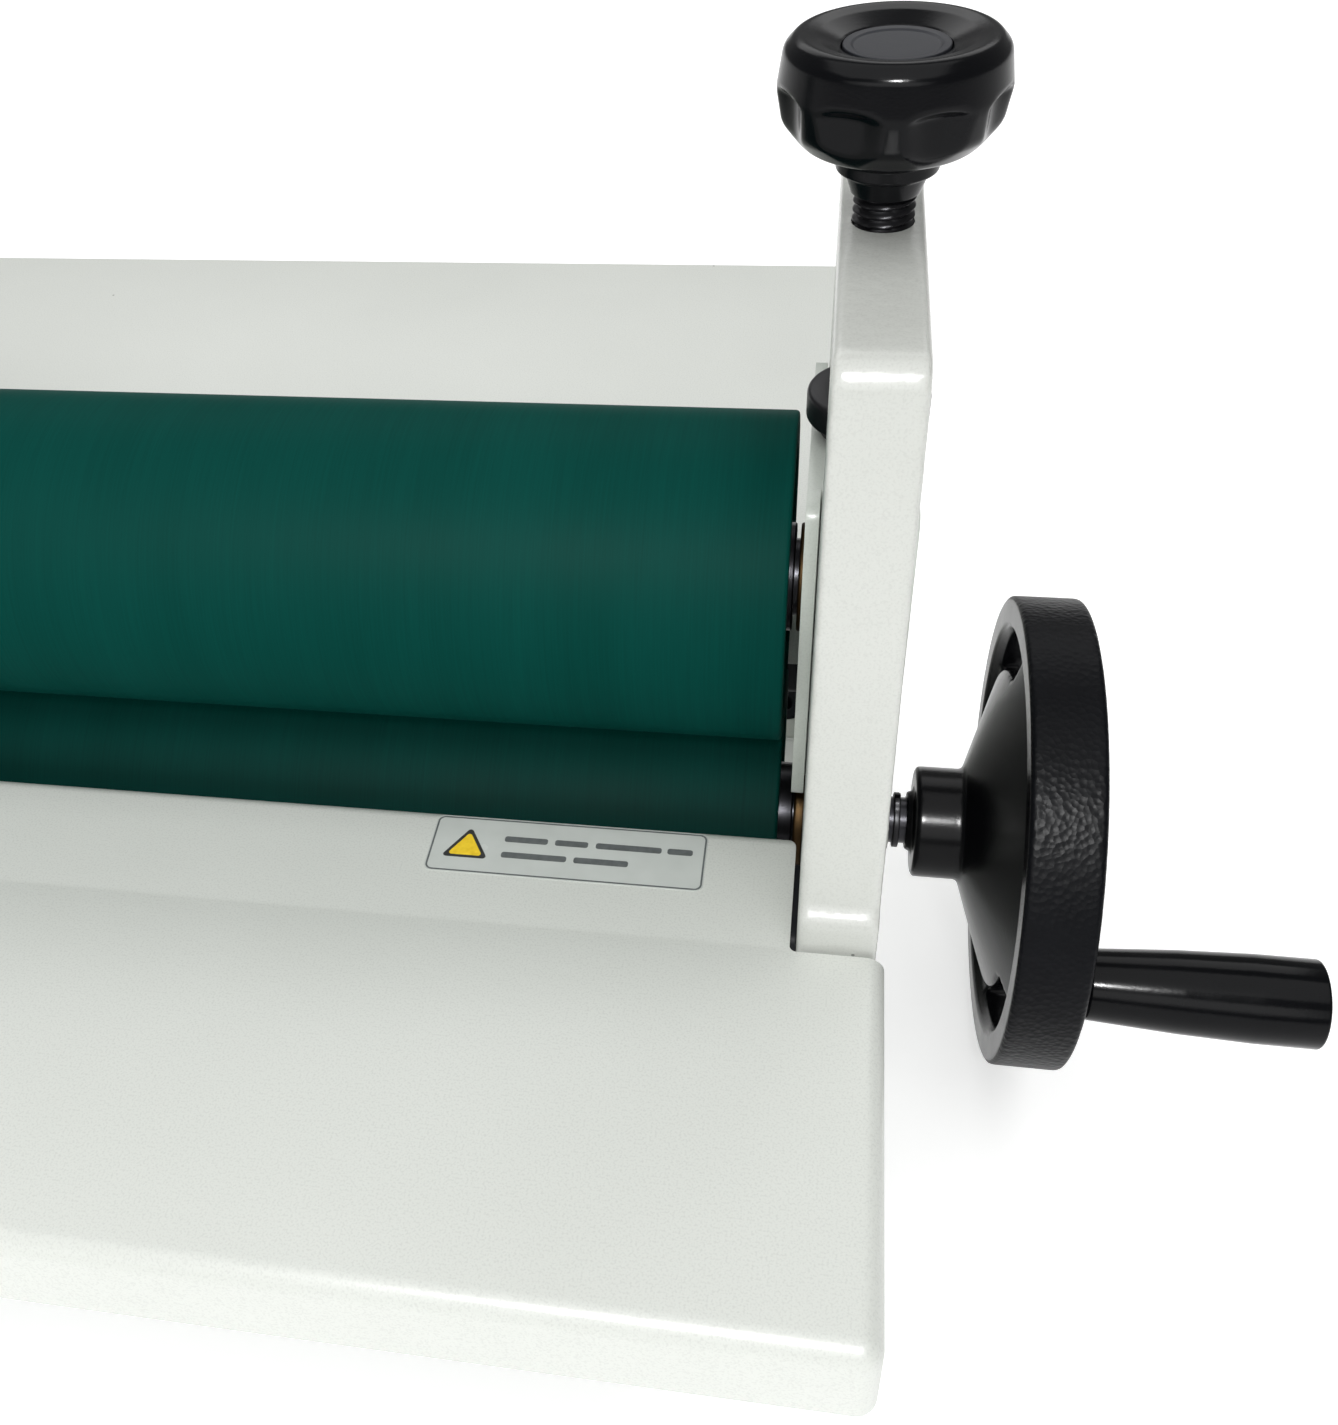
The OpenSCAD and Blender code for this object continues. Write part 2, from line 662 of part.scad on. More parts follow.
side_frame_left();
side_frame_right();
front_table();
rear_table();
front_rail();
rear_rail();
rail_screws();
table_studs();
table_nuts();
foot_front_left();
foot_front_right();
foot_rear_left();
foot_rear_right();
lower_bush_left();
lower_bush_right();
caution_label();
lower_roller_core();
lower_roller_sleeve();
lower_plug_left();
drive_shaft();
shaft_rings();
handwheel();
wheel_grub_screw();
wheel_washer();
wheel_screw();
handle_spindle();
handle_grip();
grip_end_cap();
top_roller_core();
top_roller_sleeve();
top_plug_left();
top_plug_right();
bearing_block_left();
bearing_block_right();
top_bush_left();
top_bush_right();
keeper_plate_left();
keeper_plate_right();
keeper_screws();
retaining_pins();
pressure_screw_left();
pressure_screw_right();
screw_collar_left();
screw_collar_right();
pressure_knob_left();
pressure_knob_right();
knob_cap_left();
knob_cap_right();
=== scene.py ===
"""Hand-cranked cold roll laminator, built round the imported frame.

X runs along the rollers with the handwheel at +X, the feeding side is -Y and Z is up.
Shapes are written in millimetres and turned into metres as they are meshed.
"""

import json
import math

import bmesh
import bpy
from mathutils import Euler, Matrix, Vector


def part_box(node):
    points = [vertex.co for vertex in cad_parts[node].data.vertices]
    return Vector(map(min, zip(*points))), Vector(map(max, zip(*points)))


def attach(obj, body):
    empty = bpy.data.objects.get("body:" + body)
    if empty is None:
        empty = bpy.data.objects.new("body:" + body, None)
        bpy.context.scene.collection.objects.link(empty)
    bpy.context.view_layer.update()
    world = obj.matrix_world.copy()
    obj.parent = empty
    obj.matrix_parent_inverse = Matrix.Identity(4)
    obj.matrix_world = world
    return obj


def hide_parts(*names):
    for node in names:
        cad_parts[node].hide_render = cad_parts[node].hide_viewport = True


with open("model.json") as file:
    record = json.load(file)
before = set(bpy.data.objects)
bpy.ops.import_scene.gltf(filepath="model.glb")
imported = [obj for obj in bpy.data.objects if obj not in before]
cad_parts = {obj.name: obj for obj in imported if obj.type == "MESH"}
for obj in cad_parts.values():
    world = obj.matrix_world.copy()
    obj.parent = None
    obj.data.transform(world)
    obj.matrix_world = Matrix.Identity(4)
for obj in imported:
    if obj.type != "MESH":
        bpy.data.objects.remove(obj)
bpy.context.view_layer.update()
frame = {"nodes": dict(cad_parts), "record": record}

MM = 0.001
TAU = 2 * math.pi
BODY_OF = {
    node: body
    for body, nodes in frame["record"]["behaviour"]["bodies"].items()
    for node in nodes
}
SIDES = {"left": -1, "right": 1}


# ---------------------------------------------------------------- places, from the frame


def span(node):
    """A CAD node's lowest and highest corners, in millimetres."""
    low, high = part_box(node)
    return low / MM, high / MM


def reach(node):
    """A right-hand node's inner and outer X, in millimetres."""
    low, high = span(node)
    return low.x, high.x


def radius_of(node):
    """Half the depth of a round node that lies along X."""
    low, high = span(node)
    return (high.y - low.y) / 2


sleeve_low, sleeve_high = span("lower_roller_sleeve")
ROLLER_END = sleeve_high.x
ROLLER_R = (sleeve_high.z - sleeve_low.z) / 2
LOWER_Z = round((sleeve_high.z + sleeve_low.z) / 2, 1)
UPPER_Z = round(sum(corner.z for corner in span("top_roller_sleeve")) / 2, 1)
CORE_R = radius_of("lower_roller_core")
CORE_END = reach("lower_roller_core")[1]
TABLE_Z = span("front_table")[1].z
LIP_Z = span("front_table")[0].z
TABLE_OUT = span("front_table")[1].x
FRONT_Y = -span("front_table")[0].y
REAR_Y = span("rear_table")[1].y
SLOT_Y = span("rear_table")[0].y
BLOCK_LOW, BLOCK_HIGH = span("bearing_block_right")
KEEPER_LOW, KEEPER_HIGH = span("keeper_plate_right")
FRAME_LOW, FRAME_HIGH = span("side_frame_right")
ROLLER_GAP = 5
WALL_T = 14
FRAME_IN = ROLLER_END + ROLLER_GAP
FRAME_OUT = FRAME_IN + WALL_T
BOSS_END = FRAME_HIGH.x
SCREW_LOW, SCREW_HIGH = span("pressure_screw_right")
SCREW_X = (SCREW_LOW.x + SCREW_HIGH.x) / 2
COLLAR_LOW, COLLAR_HIGH = span("screw_collar_right")
KNOB_LOW, KNOB_HIGH = span("pressure_knob_right")
CAP_LOW, CAP_HIGH = span("knob_cap_right")
CAP_R = (CAP_HIGH.x - CAP_LOW.x) / 2
CAP_LIFT = 0.6  # the cap sits this much above the CAD's, so that the crest doesn't hide it
WHEEL_LOW, WHEEL_HIGH = span("handwheel")
WHEEL_R = (WHEEL_HIGH.z - WHEEL_LOW.z) / 2
GRIP_LOW, GRIP_HIGH = span("handle_grip")
HANDLE_Y = (GRIP_LOW.y + GRIP_HIGH.y) / 2
HANDLE_Z = (GRIP_LOW.z + GRIP_HIGH.z) / 2
FOOT_TOP = 8
FOOT_X = sum(corner.x for corner in span("foot_front_right")) / 2
FOOT_Y = sum(corner.y for corner in span("foot_rear_right")) / 2
RAIL_LOW, RAIL_HIGH = span("rear_rail")
RAIL_Y = (RAIL_LOW.y + RAIL_HIGH.y) / 2
RAIL_Z = (RAIL_LOW.z + RAIL_HIGH.z) / 2

# Radii and lengths that mating pieces share.
PLUG_R = 21
JOURNAL_R = 7.5
SHAFT_R = 5
BUSH_R = 10.5
BUSH_L = 11
BUSH_FLANGE = 2
BUSH_SLACK = 0.05
END_PLAY = 0.3
THREAD_R = 5
SPIGOT_R = 4
HEAD_SINK = 8
KEY_DEPTH = 0.6
PAST = 3


# ---------------------------------------------------------------- outlines


def rounded(corners, closed=True, steps=5):
    """(u, v, radius) corners as (u, v) points, each corner with a radius turned into an arc."""
    points = []
    count = len(corners)
    for i, (u, v, radius) in enumerate(corners):
        here = Vector((u, v))
        if not radius or (not closed and i in (0, count - 1)):
            points.append(here)
            continue
        before = (Vector(corners[i - 1][:2]) - here).normalized()
        after = (Vector(corners[(i + 1) % count][:2]) - here).normalized()
        half = before.angle(after) / 2
        centre = here + (before + after).normalized() * (radius / math.sin(half))
        start = here + before * (radius / math.tan(half)) - centre
        end = here + after * (radius / math.tan(half)) - centre
        turn = start.angle(end)
        for k in range(steps + 1):
            part = k / steps
            arm = start * math.sin((1 - part) * turn) + end * math.sin(part * turn)
            points.append(centre + arm / math.sin(turn))
    return points


def mirrored(corners):
    """Corners of the half at +u, from top to bottom, with their mirror images."""
    return corners + [(-u, v, radius) for u, v, radius in reversed(corners)]


def box_outline(u0, u1, v0, v1, radius, steps=5):
    corners = [(u0, v0, radius), (u1, v0, radius), (u1, v1, radius), (u0, v1, radius)]
    return rounded(corners, steps=steps)


def dense(points, step):
    """The same line with no stretch longer than step."""
    filled = [Vector(points[0])]
    for a, b in zip(points, points[1:]):
        a, b = Vector(a), Vector(b)
        parts = max(1, math.ceil((b - a).length / step))
        filled += [a.lerp(b, k / parts) for k in range(1, parts + 1)]
    return filled


# ---------------------------------------------------------------- meshes


def mesh_object(name, points, faces):
    mesh = bpy.data.meshes.new(name)
    mesh.from_pydata([Vector(p) * MM for p in points], [], faces)
    mesh.validate()
    piece = bpy.data.objects.new(name, mesh)
    bpy.context.scene.collection.objects.link(piece)
    return piece


def face_outward(piece):
    """Turns a closed mesh's faces outward."""
    mesh = bmesh.new()
    mesh.from_mesh(piece.data)
    bmesh.ops.remove_doubles(mesh, verts=mesh.verts, dist=1e-7)
    bmesh.ops.recalc_face_normals(mesh, faces=mesh.faces)
    mesh.to_mesh(piece.data)
    mesh.free()
    return piece


def prism(name, outline, start, end, axis="X"):
    """A solid with the given outline; the outline is (y, z) along X, (x, z) along Y or (x, y) along Z."""
    place = {
        "X": lambda u, v, w: (w, u, v),
        "Y": lambda u, v, w: (u, w, v),
        "Z": lambda u, v, w: (u, v, w),
    }[axis]
    count = len(outline)
    points = [place(u, v, w) for w in (start, end) for u, v in outline]
    faces = [list(range(count)), list(range(count, 2 * count))]
    faces += [[i, (i + 1) % count, count + (i + 1) % count, count + i] for i in range(count)]
    return face_outward(mesh_object(name, points, faces))


def lathe(name, profile, centre, axis="X", around=96, ring=False, shape=None):
    """Turns (radius, along) points about an axis through centre.

    A ring's profile is the closed outline of its section; any other profile is closed by flat ends.
    shape(radius, along, angle) may change the radius from place to place.
    """
    ca, cb = centre
    points = []
    for radius, along in profile:
        for k in range(around):
            angle = TAU * k / around
            r = shape(radius, along, angle) if shape else radius
            a, b = r * math.cos(angle), r * math.sin(angle)
            points.append((along, ca + a, cb + b) if axis == "X" else (ca + a, cb + b, along))
    rows = len(profile)
    faces = []
    for i in range(rows if ring else rows - 1):
        low, high = i * around, (i + 1) % rows * around
        for k in range(around):
            nxt = (k + 1) % around
            faces.append([low + k, low + nxt, high + nxt, high + k])
    if not ring:
        faces.append(list(range(around)))
        faces.append(list(range((rows - 1) * around, rows * around)))
    return face_outward(mesh_object(name, points, faces))


def baked(piece):
    """Puts the result of the piece's modifiers into its own mesh."""
    graph = bpy.context.evaluated_depsgraph_get()
    graph.update()
    mesh = bpy.data.meshes.new_from_object(piece.evaluated_get(graph))
    piece.modifiers.clear()
    piece.data = mesh
    return piece


def gathered(pieces, name):
    """Several meshes as one object."""
    whole = bmesh.new()
    for piece in pieces:
        whole.from_mesh(piece.data)
        bpy.data.objects.remove(piece)
    mesh = bpy.data.meshes.new(name)
    whole.to_mesh(mesh)
    whole.free()
    result = bpy.data.objects.new(name, mesh)
    bpy.context.scene.collection.objects.link(result)
    return result


def combined(piece, others, operation):
    """Adds or cuts away other solids."""
    for other in others:
        change = piece.modifiers.new(operation.lower(), "BOOLEAN")
        change.operation = operation
        change.solver = "EXACT"
        change.object = other
        baked(piece)
        bpy.data.objects.remove(other)
    return piece


def softened(piece, voxel, rounds):
    """Rounds all edges and fills inner corners, as a casting or a moulding has them."""
    skin = piece.modifiers.new("skin", "REMESH")
    skin.mode = "VOXEL"
    skin.voxel_size = voxel * MM
    soft = piece.modifiers.new("soft", "SMOOTH")
    soft.factor = 0.5
    soft.iterations = rounds
    return baked(piece)


def edged(piece, width, segments=2, angle=35):
    """Rounds the sharp edges of a solid with flat faces."""
    bevel = piece.modifiers.new("edge", "BEVEL")
    bevel.width = width * MM
    bevel.segments = segments
    bevel.limit_method = "ANGLE"
    bevel.angle_limit = math.radians(angle)
    bevel.use_clamp_overlap = True
    return baked(piece)


def flipped(piece, side):
    """The same piece at -X for side -1."""
    if side < 0:
        for vertex in piece.data.vertices:
            vertex.co.x = -vertex.co.x
        piece.data.flip_normals()
    return piece


def finished(piece, finish, slot, *nodes, body=None, crease=35):
    """Gives a piece its material and body, and lets it stand for its CAD nodes."""
    piece.data.materials.clear()
    piece.data.materials.append(finish)
    piece.data.shade_smooth()
    piece.data.set_sharp_from_angle(angle=math.radians(crease))
    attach(piece, body or BODY_OF[nodes[0]])
    if nodes:
        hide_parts(*nodes)
    return piece


# ---------------------------------------------------------------- materials


class Look:
    """A material, with short calls that add the nodes most of them need."""

    def __init__(self, name, **sockets):
        self.material = bpy.data.materials.new(name)
        self.material.use_nodes = True
        self.tree = self.material.node_tree
        self.shader = self.tree.nodes["Principled BSDF"]
        self.place = self.tree.nodes.new("ShaderNodeTexCoord").outputs["Object"]
        for socket, value in sockets.items():
            self.shader.inputs[socket.replace("_", " ")].default_value = value

    def link(self, source, target):
        self.tree.links.new(source, target)

    def stretched(self, scale):
        mapping = self.tree.nodes.new("ShaderNodeMapping")
        mapping.inputs["Scale"].default_value = scale
        self.link(self.place, mapping.inputs["Vector"])
        return mapping.outputs["Vector"]

    def noise(self, scale, detail=2.0, rough=0.5, stretch=None):
        node = self.tree.nodes.new("ShaderNodeTexNoise")
        node.inputs["Scale"].default_value = scale
        node.inputs["Detail"].default_value = detail
        node.inputs["Roughness"].default_value = rough
        self.link(self.stretched(stretch) if stretch else self.place, node.inputs["Vector"])
        return node.outputs["Fac"]

    def cells(self, scale):
        node = self.tree.nodes.new("ShaderNodeTexVoronoi")
        node.inputs["Scale"].default_value = scale
        self.link(self.place, node.inputs["Vector"])
        return node.outputs["Distance"]

    def ramp(self, factor, *stops):
        """stops are (position, colour) pairs."""
        node = self.tree.nodes.new("ShaderNodeValToRGB")
        for i, (position, colour) in enumerate(stops):
            stop = node.color_ramp.elements[i] if i < 2 else node.color_ramp.elements.new(position)
            stop.position = position
            stop.color = (*colour, 1) if len(colour) == 3 else colour
        self.link(factor, node.inputs["Fac"])
        return node.outputs["Color"]

    def blend(self, factor, a, b, mode="MIX"):
        node = self.tree.nodes.new("ShaderNodeMix")
        node.data_type = "RGBA"
        node.blend_type = mode
        for value, socket in ((factor, "Factor"), (a, "A"), (b, "B")):
            slot = next(s for s in node.inputs if s.name == socket and s.enabled)
            if isinstance(value, (float, tuple)):
                slot.default_value = (*value, 1) if isinstance(value, tuple) else value
            else:
                self.link(value, slot)
        return next(s for s in node.outputs if s.enabled)

    def ranged(self, factor, low, high):
        node = self.tree.nodes.new("ShaderNodeMapRange")
        node.inputs["To Min"].default_value = low
        node.inputs["To Max"].default_value = high
        self.link(factor, node.inputs["Value"])
        return node.outputs["Result"]

    def bump(self, height, strength, distance, below=None):
        node = self.tree.nodes.new("ShaderNodeBump")
        node.inputs["Strength"].default_value = strength
        node.inputs["Distance"].default_value = distance
        self.link(height, node.inputs["Height"])
        if below:
            self.link(below, node.inputs["Normal"])
        return node.outputs["Normal"]

    def wear(self, **sockets):
        """Joins node outputs to the shader's sockets."""
        for socket, source in sockets.items():
            self.link(source, self.shader.inputs[socket.replace("_", " ")])
        return self.material


def paint(name, light, dark, fleck, peel, rough):
    """Light enamel: faint patches of tone, fine specks and an orange-peel surface."""
    look = Look(name, Specular_IOR_Level=0.5)
    patches = look.ramp(look.noise(14, 3), (0.35, dark), (0.65, light))
    specks = look.ramp(look.noise(2600, 1), (0.30, (fleck, fleck, fleck)), (0.52, (1, 1, 1)))
    colour = look.blend(1.0, patches, specks, "MULTIPLY")
    dots = look.ramp(look.cells(42), (0.012, (0.35, 0.36, 0.35)), (0.016, (1, 1, 1)))
    colour = look.blend(1.0, colour, dots, "MULTIPLY")
    grain = look.bump(look.noise(1500, 2), 0.15, 0.00003)
    normal = look.bump(look.noise(420, 2, 0.4), peel, 0.00016, grain)
    return look.wear(
        Base_Color=colour, Roughness=look.ranged(look.noise(60), rough - 0.012, rough + 0.012), Normal=normal
    )


def ground_rubber():
    """Dark green silicone, ground round the roller: fine rings and faint streaks."""
    look = Look("green_rubber_ground", Specular_IOR_Level=0.02)
    rings = look.noise(1, 3, 0.6, stretch=(2600, 40, 40))
    streaks = look.noise(1, 2, 0.5, stretch=(60, 9, 9))
    colour = look.ramp(streaks, (0.3, (0.0009, 0.049, 0.039)), (0.7, (0.0014, 0.057, 0.046)))
    tint = look.ramp(rings, (0.3, (0.9, 0.9, 0.9)), (0.7, (1.06, 1.06, 1.06)))
    colour = look.blend(1.0, colour, tint, "MULTIPLY")
    normal = look.bump(rings, 0.25, 0.00003, look.bump(look.noise(900, 2), 0.15, 0.00003))
    return look.wear(Base_Color=colour, Roughness=look.ranged(streaks, 0.50, 0.60), Normal=normal)


def moulded(name, tone, rough, grain, depth, shine=0.12):
    """Black plastic with a moulded grain; tone is its lightness."""
    look = Look(name, Specular_IOR_Level=shine)
    patches = look.noise(90, 3)
    colour = look.ramp(
        patches, (0.3, (tone, tone * 1.1, tone * 1.4)), (0.7, (tone * 1.35, tone * 1.45, tone * 1.8))
    )
    fine = look.bump(look.noise(grain, 3, 0.6), 0.6, depth)
    return look.wear(
        Base_Color=colour, Roughness=look.ranged(patches, rough - 0.05, rough + 0.08), Normal=fine
    )


def leather_grain():
    """The rim's face: black plastic with a coarse pebbled grain."""
    look = Look("wheel_rim_grained", Specular_IOR_Level=0.07)
    pebbles = look.cells(820)
    patches = look.noise(70, 3)
    colour = look.ramp(patches, (0.3, (0.0022, 0.0025, 0.0036)), (0.7, (0.0034, 0.0038, 0.0052)))
    normal = look.bump(pebbles, 0.5, 0.00022, look.bump(look.noise(1400, 2), 0.4, 0.00004))
    return look.wear(Base_Color=colour, Roughness=look.ranged(patches, 0.32, 0.44), Normal=normal)


def turned(name, colour, rough, stretch, metallic=1.0):
    """Metal with fine tool marks; stretch is fine along the axis that the tool moved on."""
    look = Look(name, Metallic=metallic)
    marks = look.noise(1, 3, 0.6, stretch=stretch)
    stain = look.noise(110, 3)
    shade = tuple(c * 0.72 for c in colour)
    tone = look.blend(look.ranged(stain, 0.0, 0.8), colour, shade)
    normal = look.bump(marks, 0.35, 0.00003)
    return look.wear(Base_Color=tone, Roughness=look.ranged(stain, rough, rough + 0.18), Normal=normal)


def plain_film():
    """Clear printed film over paint, a little greyer than the table."""
    look = Look("label_film_clear", Specular_IOR_Level=0.5, Coat_Weight=0.3, Coat_Roughness=0.1)
    cloud = look.noise(160, 2)
    colour = look.ramp(cloud, (0.3, (0.56, 0.59, 0.56)), (0.7, (0.60, 0.63, 0.60)))
    return look.wear(
        Base_Color=colour, Roughness=look.ranged(cloud, 0.2, 0.3), Normal=look.bump(cloud, 0.2, 0.00005)
    )


def ink(name, colour):
    """Printed colour, slightly uneven."""
    look = Look(name)
    cloud = look.noise(700, 2)
    light = tuple(min(1.0, c * 1.25 + 0.01) for c in colour)
    tone = look.ramp(cloud, (0.3, colour), (0.7, light))
    return look.wear(Base_Color=tone, Roughness=look.ranged(cloud, 0.35, 0.5))


casting = paint("casting_enamel", (0.625, 0.640, 0.605), (0.590, 0.605, 0.570), 0.93, 0.70, 0.24)
powder = paint("table_powder_coat", (0.700, 0.722, 0.680), (0.675, 0.697, 0.655), 0.90, 0.28, 0.34)
block_enamel = paint("block_enamel", (0.58, 0.62, 0.57), (0.55, 0.59, 0.54), 0.93, 0.45, 0.30)
green = ground_rubber()
knob_black = moulded("knob_phenolic", 0.0025, 0.19, 2200, 0.00002, 0.12)
cap_grey = moulded("cap_grained", 0.016, 0.42, 2600, 0.00003, 0.2)
wheel_black = moulded("wheel_moulded", 0.0022, 0.20, 1500, 0.00003, 0.12)
rim_black = leather_grain()
grip_black = moulded("grip_glossy", 0.0022, 0.14, 700, 0.00003, 0.11)
rail_black = moulded("rail_satin_paint", 0.012, 0.45, 900, 0.00005, 0.2)
foot_black = moulded("foot_rubber_matt", 0.010, 0.72, 1800, 0.00006)
oxide = turned("black_oxide", (0.010, 0.010, 0.012), 0.30, (90, 90, 3200), 0.6)
zinc = turned("zinc_plate", (0.62, 0.63, 0.66), 0.28, (300, 300, 300))
# Black-oxide steel for the drive shaft and the roller end plugs. The dark tone is the shaft's own colour
# outside the frame, and on the plugs it is also painted shade for the shadowed gap between roller end and
# frame.
shaft_blacked_and_shaded = turned("shaft_blacked_steel_and_painted_shade", (0.020, 0.020, 0.024), 0.22, (4200, 60, 60), 0.7)
steel_x = turned("turned_steel", (0.50, 0.51, 0.53), 0.25, (4200, 60, 60))
# Oiled bronze, made much darker than its own colour as painted shade for the bushes that sit in the shadowed
# gap by the frame.
bronze_darkened_as_shade = turned("oiled_bronze_with_painted_shade", (0.09, 0.055, 0.025), 0.38, (900, 900, 900))
film = plain_film()
yellow = ink("label_yellow", (0.83, 0.56, 0.02))
dark_ink = ink("label_dark", (0.025, 0.025, 0.025))
grey_ink = ink("label_grey", (0.10, 0.11, 0.11))


# ---------------------------------------------------------------- side frames


def foot_lug(sy):
    """The lug that a foot is pushed into, with its gusset up the casting's inner face."""
    middle = sy * FOOT_Y
    half, corner, lug_t = 15, 6, 10
    root, lug_end = FRAME_IN + 4, FRAME_OUT - 2
    gusset_y, gusset_half, gusset_top = sy * 97, 2, FOOT_TOP + 22
    plan = rounded([
        (FRAME_LOW.x, middle - half, corner), (lug_end, middle - half, 0), (lug_end, middle + half, 0),
        (FRAME_LOW.x, middle + half, corner),
    ])
    lug = prism("lug", plan, FOOT_TOP, FOOT_TOP + lug_t, "Z")
    web = [
        (FRAME_LOW.x + 8, FOOT_TOP + 4), (root, FOOT_TOP + 4), (root, gusset_top), (FRAME_IN, gusset_top),
    ]
    gusset = prism("gusset", web, gusset_y - gusset_half, gusset_y + gusset_half, "Y")
    return [lug, gusset]


def side_frame(side_name):
    """A painted casting: a waisted plate on an arch, with a window, a boss and two foot lugs."""
    top = FRAME_HIGH.z
    top_half, waist_half, window_half = 48.5, 63.5, 21
    ledge_w, ledge_h = 2.6, 2.1
    waist_z = TABLE_Z + 6.5
    boss_r, bore_r = 8.3, 5.8
    outline = rounded(mirrored([
        (top_half, top, 5), (waist_half - ledge_w, waist_z + ledge_h, 2), (waist_half, waist_z, 1),
        (waist_half, TABLE_Z - 32, 20), (98, FOOT_TOP + 19, 8), (FRAME_HIGH.y, FOOT_TOP, 2.5),
        (68, FOOT_TOP, 5), (54, FOOT_TOP + 20, 10),
    ]))
    piece = prism("cast_side_frame_" + side_name, outline, FRAME_IN, FRAME_OUT)
    boss = [
        (boss_r + 0.3, FRAME_OUT - PAST), (boss_r, FRAME_OUT), (boss_r - 1.1, BOSS_END - 0.8),
        (boss_r - 1.7, BOSS_END),
    ]
    piece = combined(
        piece, foot_lug(1) + foot_lug(-1) + [lathe("boss", boss, (0, LOWER_Z), around=64)], "UNION"
    )
    window = box_outline(-window_half, window_half, TABLE_Z - 2, top - 12, 3)
    far = FRAME_OUT + 9
    cuts = [
        prism("window", window, FRAME_IN - PAST, far),
        lathe("bush_seat", [(BUSH_R, FRAME_IN - PAST), (BUSH_R, FRAME_IN + BUSH_L)], (0, LOWER_Z)),
        lathe("bore", [(bore_r, FRAME_IN + BUSH_L - 2), (bore_r, far)], (0, LOWER_Z)),
    ]
    for sy in (-1, 1):
        centre = (sy * RAIL_Y, RAIL_Z)
        cuts.append(lathe("rail_hole", [(4.3, FRAME_IN - PAST), (4.3, FRAME_OUT - 4)], centre, around=48))
        cuts.append(lathe("rail_seat", [(7.0, FRAME_OUT - HEAD_SINK), (7.0, far)], centre, around=48))
        cuts.append(lathe("spigot", [(7, -5), (7, 40)], (FOOT_X, sy * FOOT_Y), "Z", around=48))
    piece = softened(combined(piece, cuts, "DIFFERENCE"), 0.9, 8)
    tapped_r = THREAD_R + 0.06
    bore = lathe("screw_bore", [(tapped_r, top - 20), (tapped_r, top + 9)], (SCREW_X, 0), "Z", 64)
    piece = combined(piece, [bore], "DIFFERENCE")
    return finished(
        flipped(piece, SIDES[side_name]), casting, "casting_paint", "side_frame_" + side_name, crease=50
    )


# ---------------------------------------------------------------- tables


def pan(name, near, far):
    """A folded sheet-metal pan: a flat top whose four edges bend down in one smooth lip."""
    bend, sheet, hem = 3.5, 1.5, 0.35
    inner = bend - sheet
    quarter = [k * math.pi / 16 for k in range(9)]
    section = [(bend - bend * math.sin(a), TABLE_Z - bend + bend * math.cos(a)) for a in quarter]
    section += [(0, LIP_Z + hem), (hem, LIP_Z), (sheet - hem, LIP_Z), (sheet, LIP_Z + hem)]
    section += [(bend - inner * math.sin(a), TABLE_Z - bend + inner * math.cos(a)) for a in reversed(quarter)]
    middle = (near + far) / 2
    half = (TABLE_OUT - bend, abs(far - near) / 2 - bend)
    points, faces = [], []
    per_corner = 9
    ring = 4 * per_corner
    for inset, z in section:
        for k in range(ring):
            corner, part = divmod(k, per_corner)
            angle = (corner + part / (per_corner - 1)) * math.pi / 2
            across = half[0] if corner in (0, 3) else -half[0]
            along = half[1] if corner in (0, 1) else -half[1]
            r = bend - inset
            points.append((across + r * math.cos(angle), middle + along + r * math.sin(angle), z))
    for i in range(len(section) - 1):
        for k in range(ring):
            nxt = (k + 1) % ring
            faces.append([i * ring + k, i * ring + nxt, (i + 1) * ring + nxt, (i + 1) * ring + k])
    corners = [k * per_corner for k in range(4)]
    last = (len(section) - 1) * ring
    faces += [corners, [last + k for k in corners]]
    piece = mesh_object(name, points, faces)
    return face_outward(piece)


def table(name, node, near, far):
    """A table with a notch round each side casting."""
    piece = pan(name, near, far)
    sy = math.copysign(1, far - near)
    notch_x, notch_y, turn_r, past = FRAME_IN - 1, 64.5, 4, 9
    slot = abs(near)
    quarter = [k * math.pi / 16 for k in range(9)]
    turn = [(notch_x - turn_r + turn_r * math.sin(a), slot + turn_r - turn_r * math.cos(a)) for a in quarter]
    rest = rounded([
        (notch_x, notch_y, 1.2), (TABLE_OUT + past, notch_y, 0), (TABLE_OUT + past, slot - past, 0),
        (notch_x - turn_r, slot - past, 0),
    ], steps=4)
    plan = [Vector(p) for p in turn] + rest
    cuts = []
    for sx in (-1, 1):
        outline = [(sx * x, sy * y) for x, y in plan]
        cuts.append(prism("notch", outline, LIP_Z - past, TABLE_Z + past, "Z"))
    piece = edged(combined(piece, cuts, "DIFFERENCE"), 0.45, 3, 40)
    return finished(piece, powder, "table_paint", node, crease=30)


# ---------------------------------------------------------------- caution label


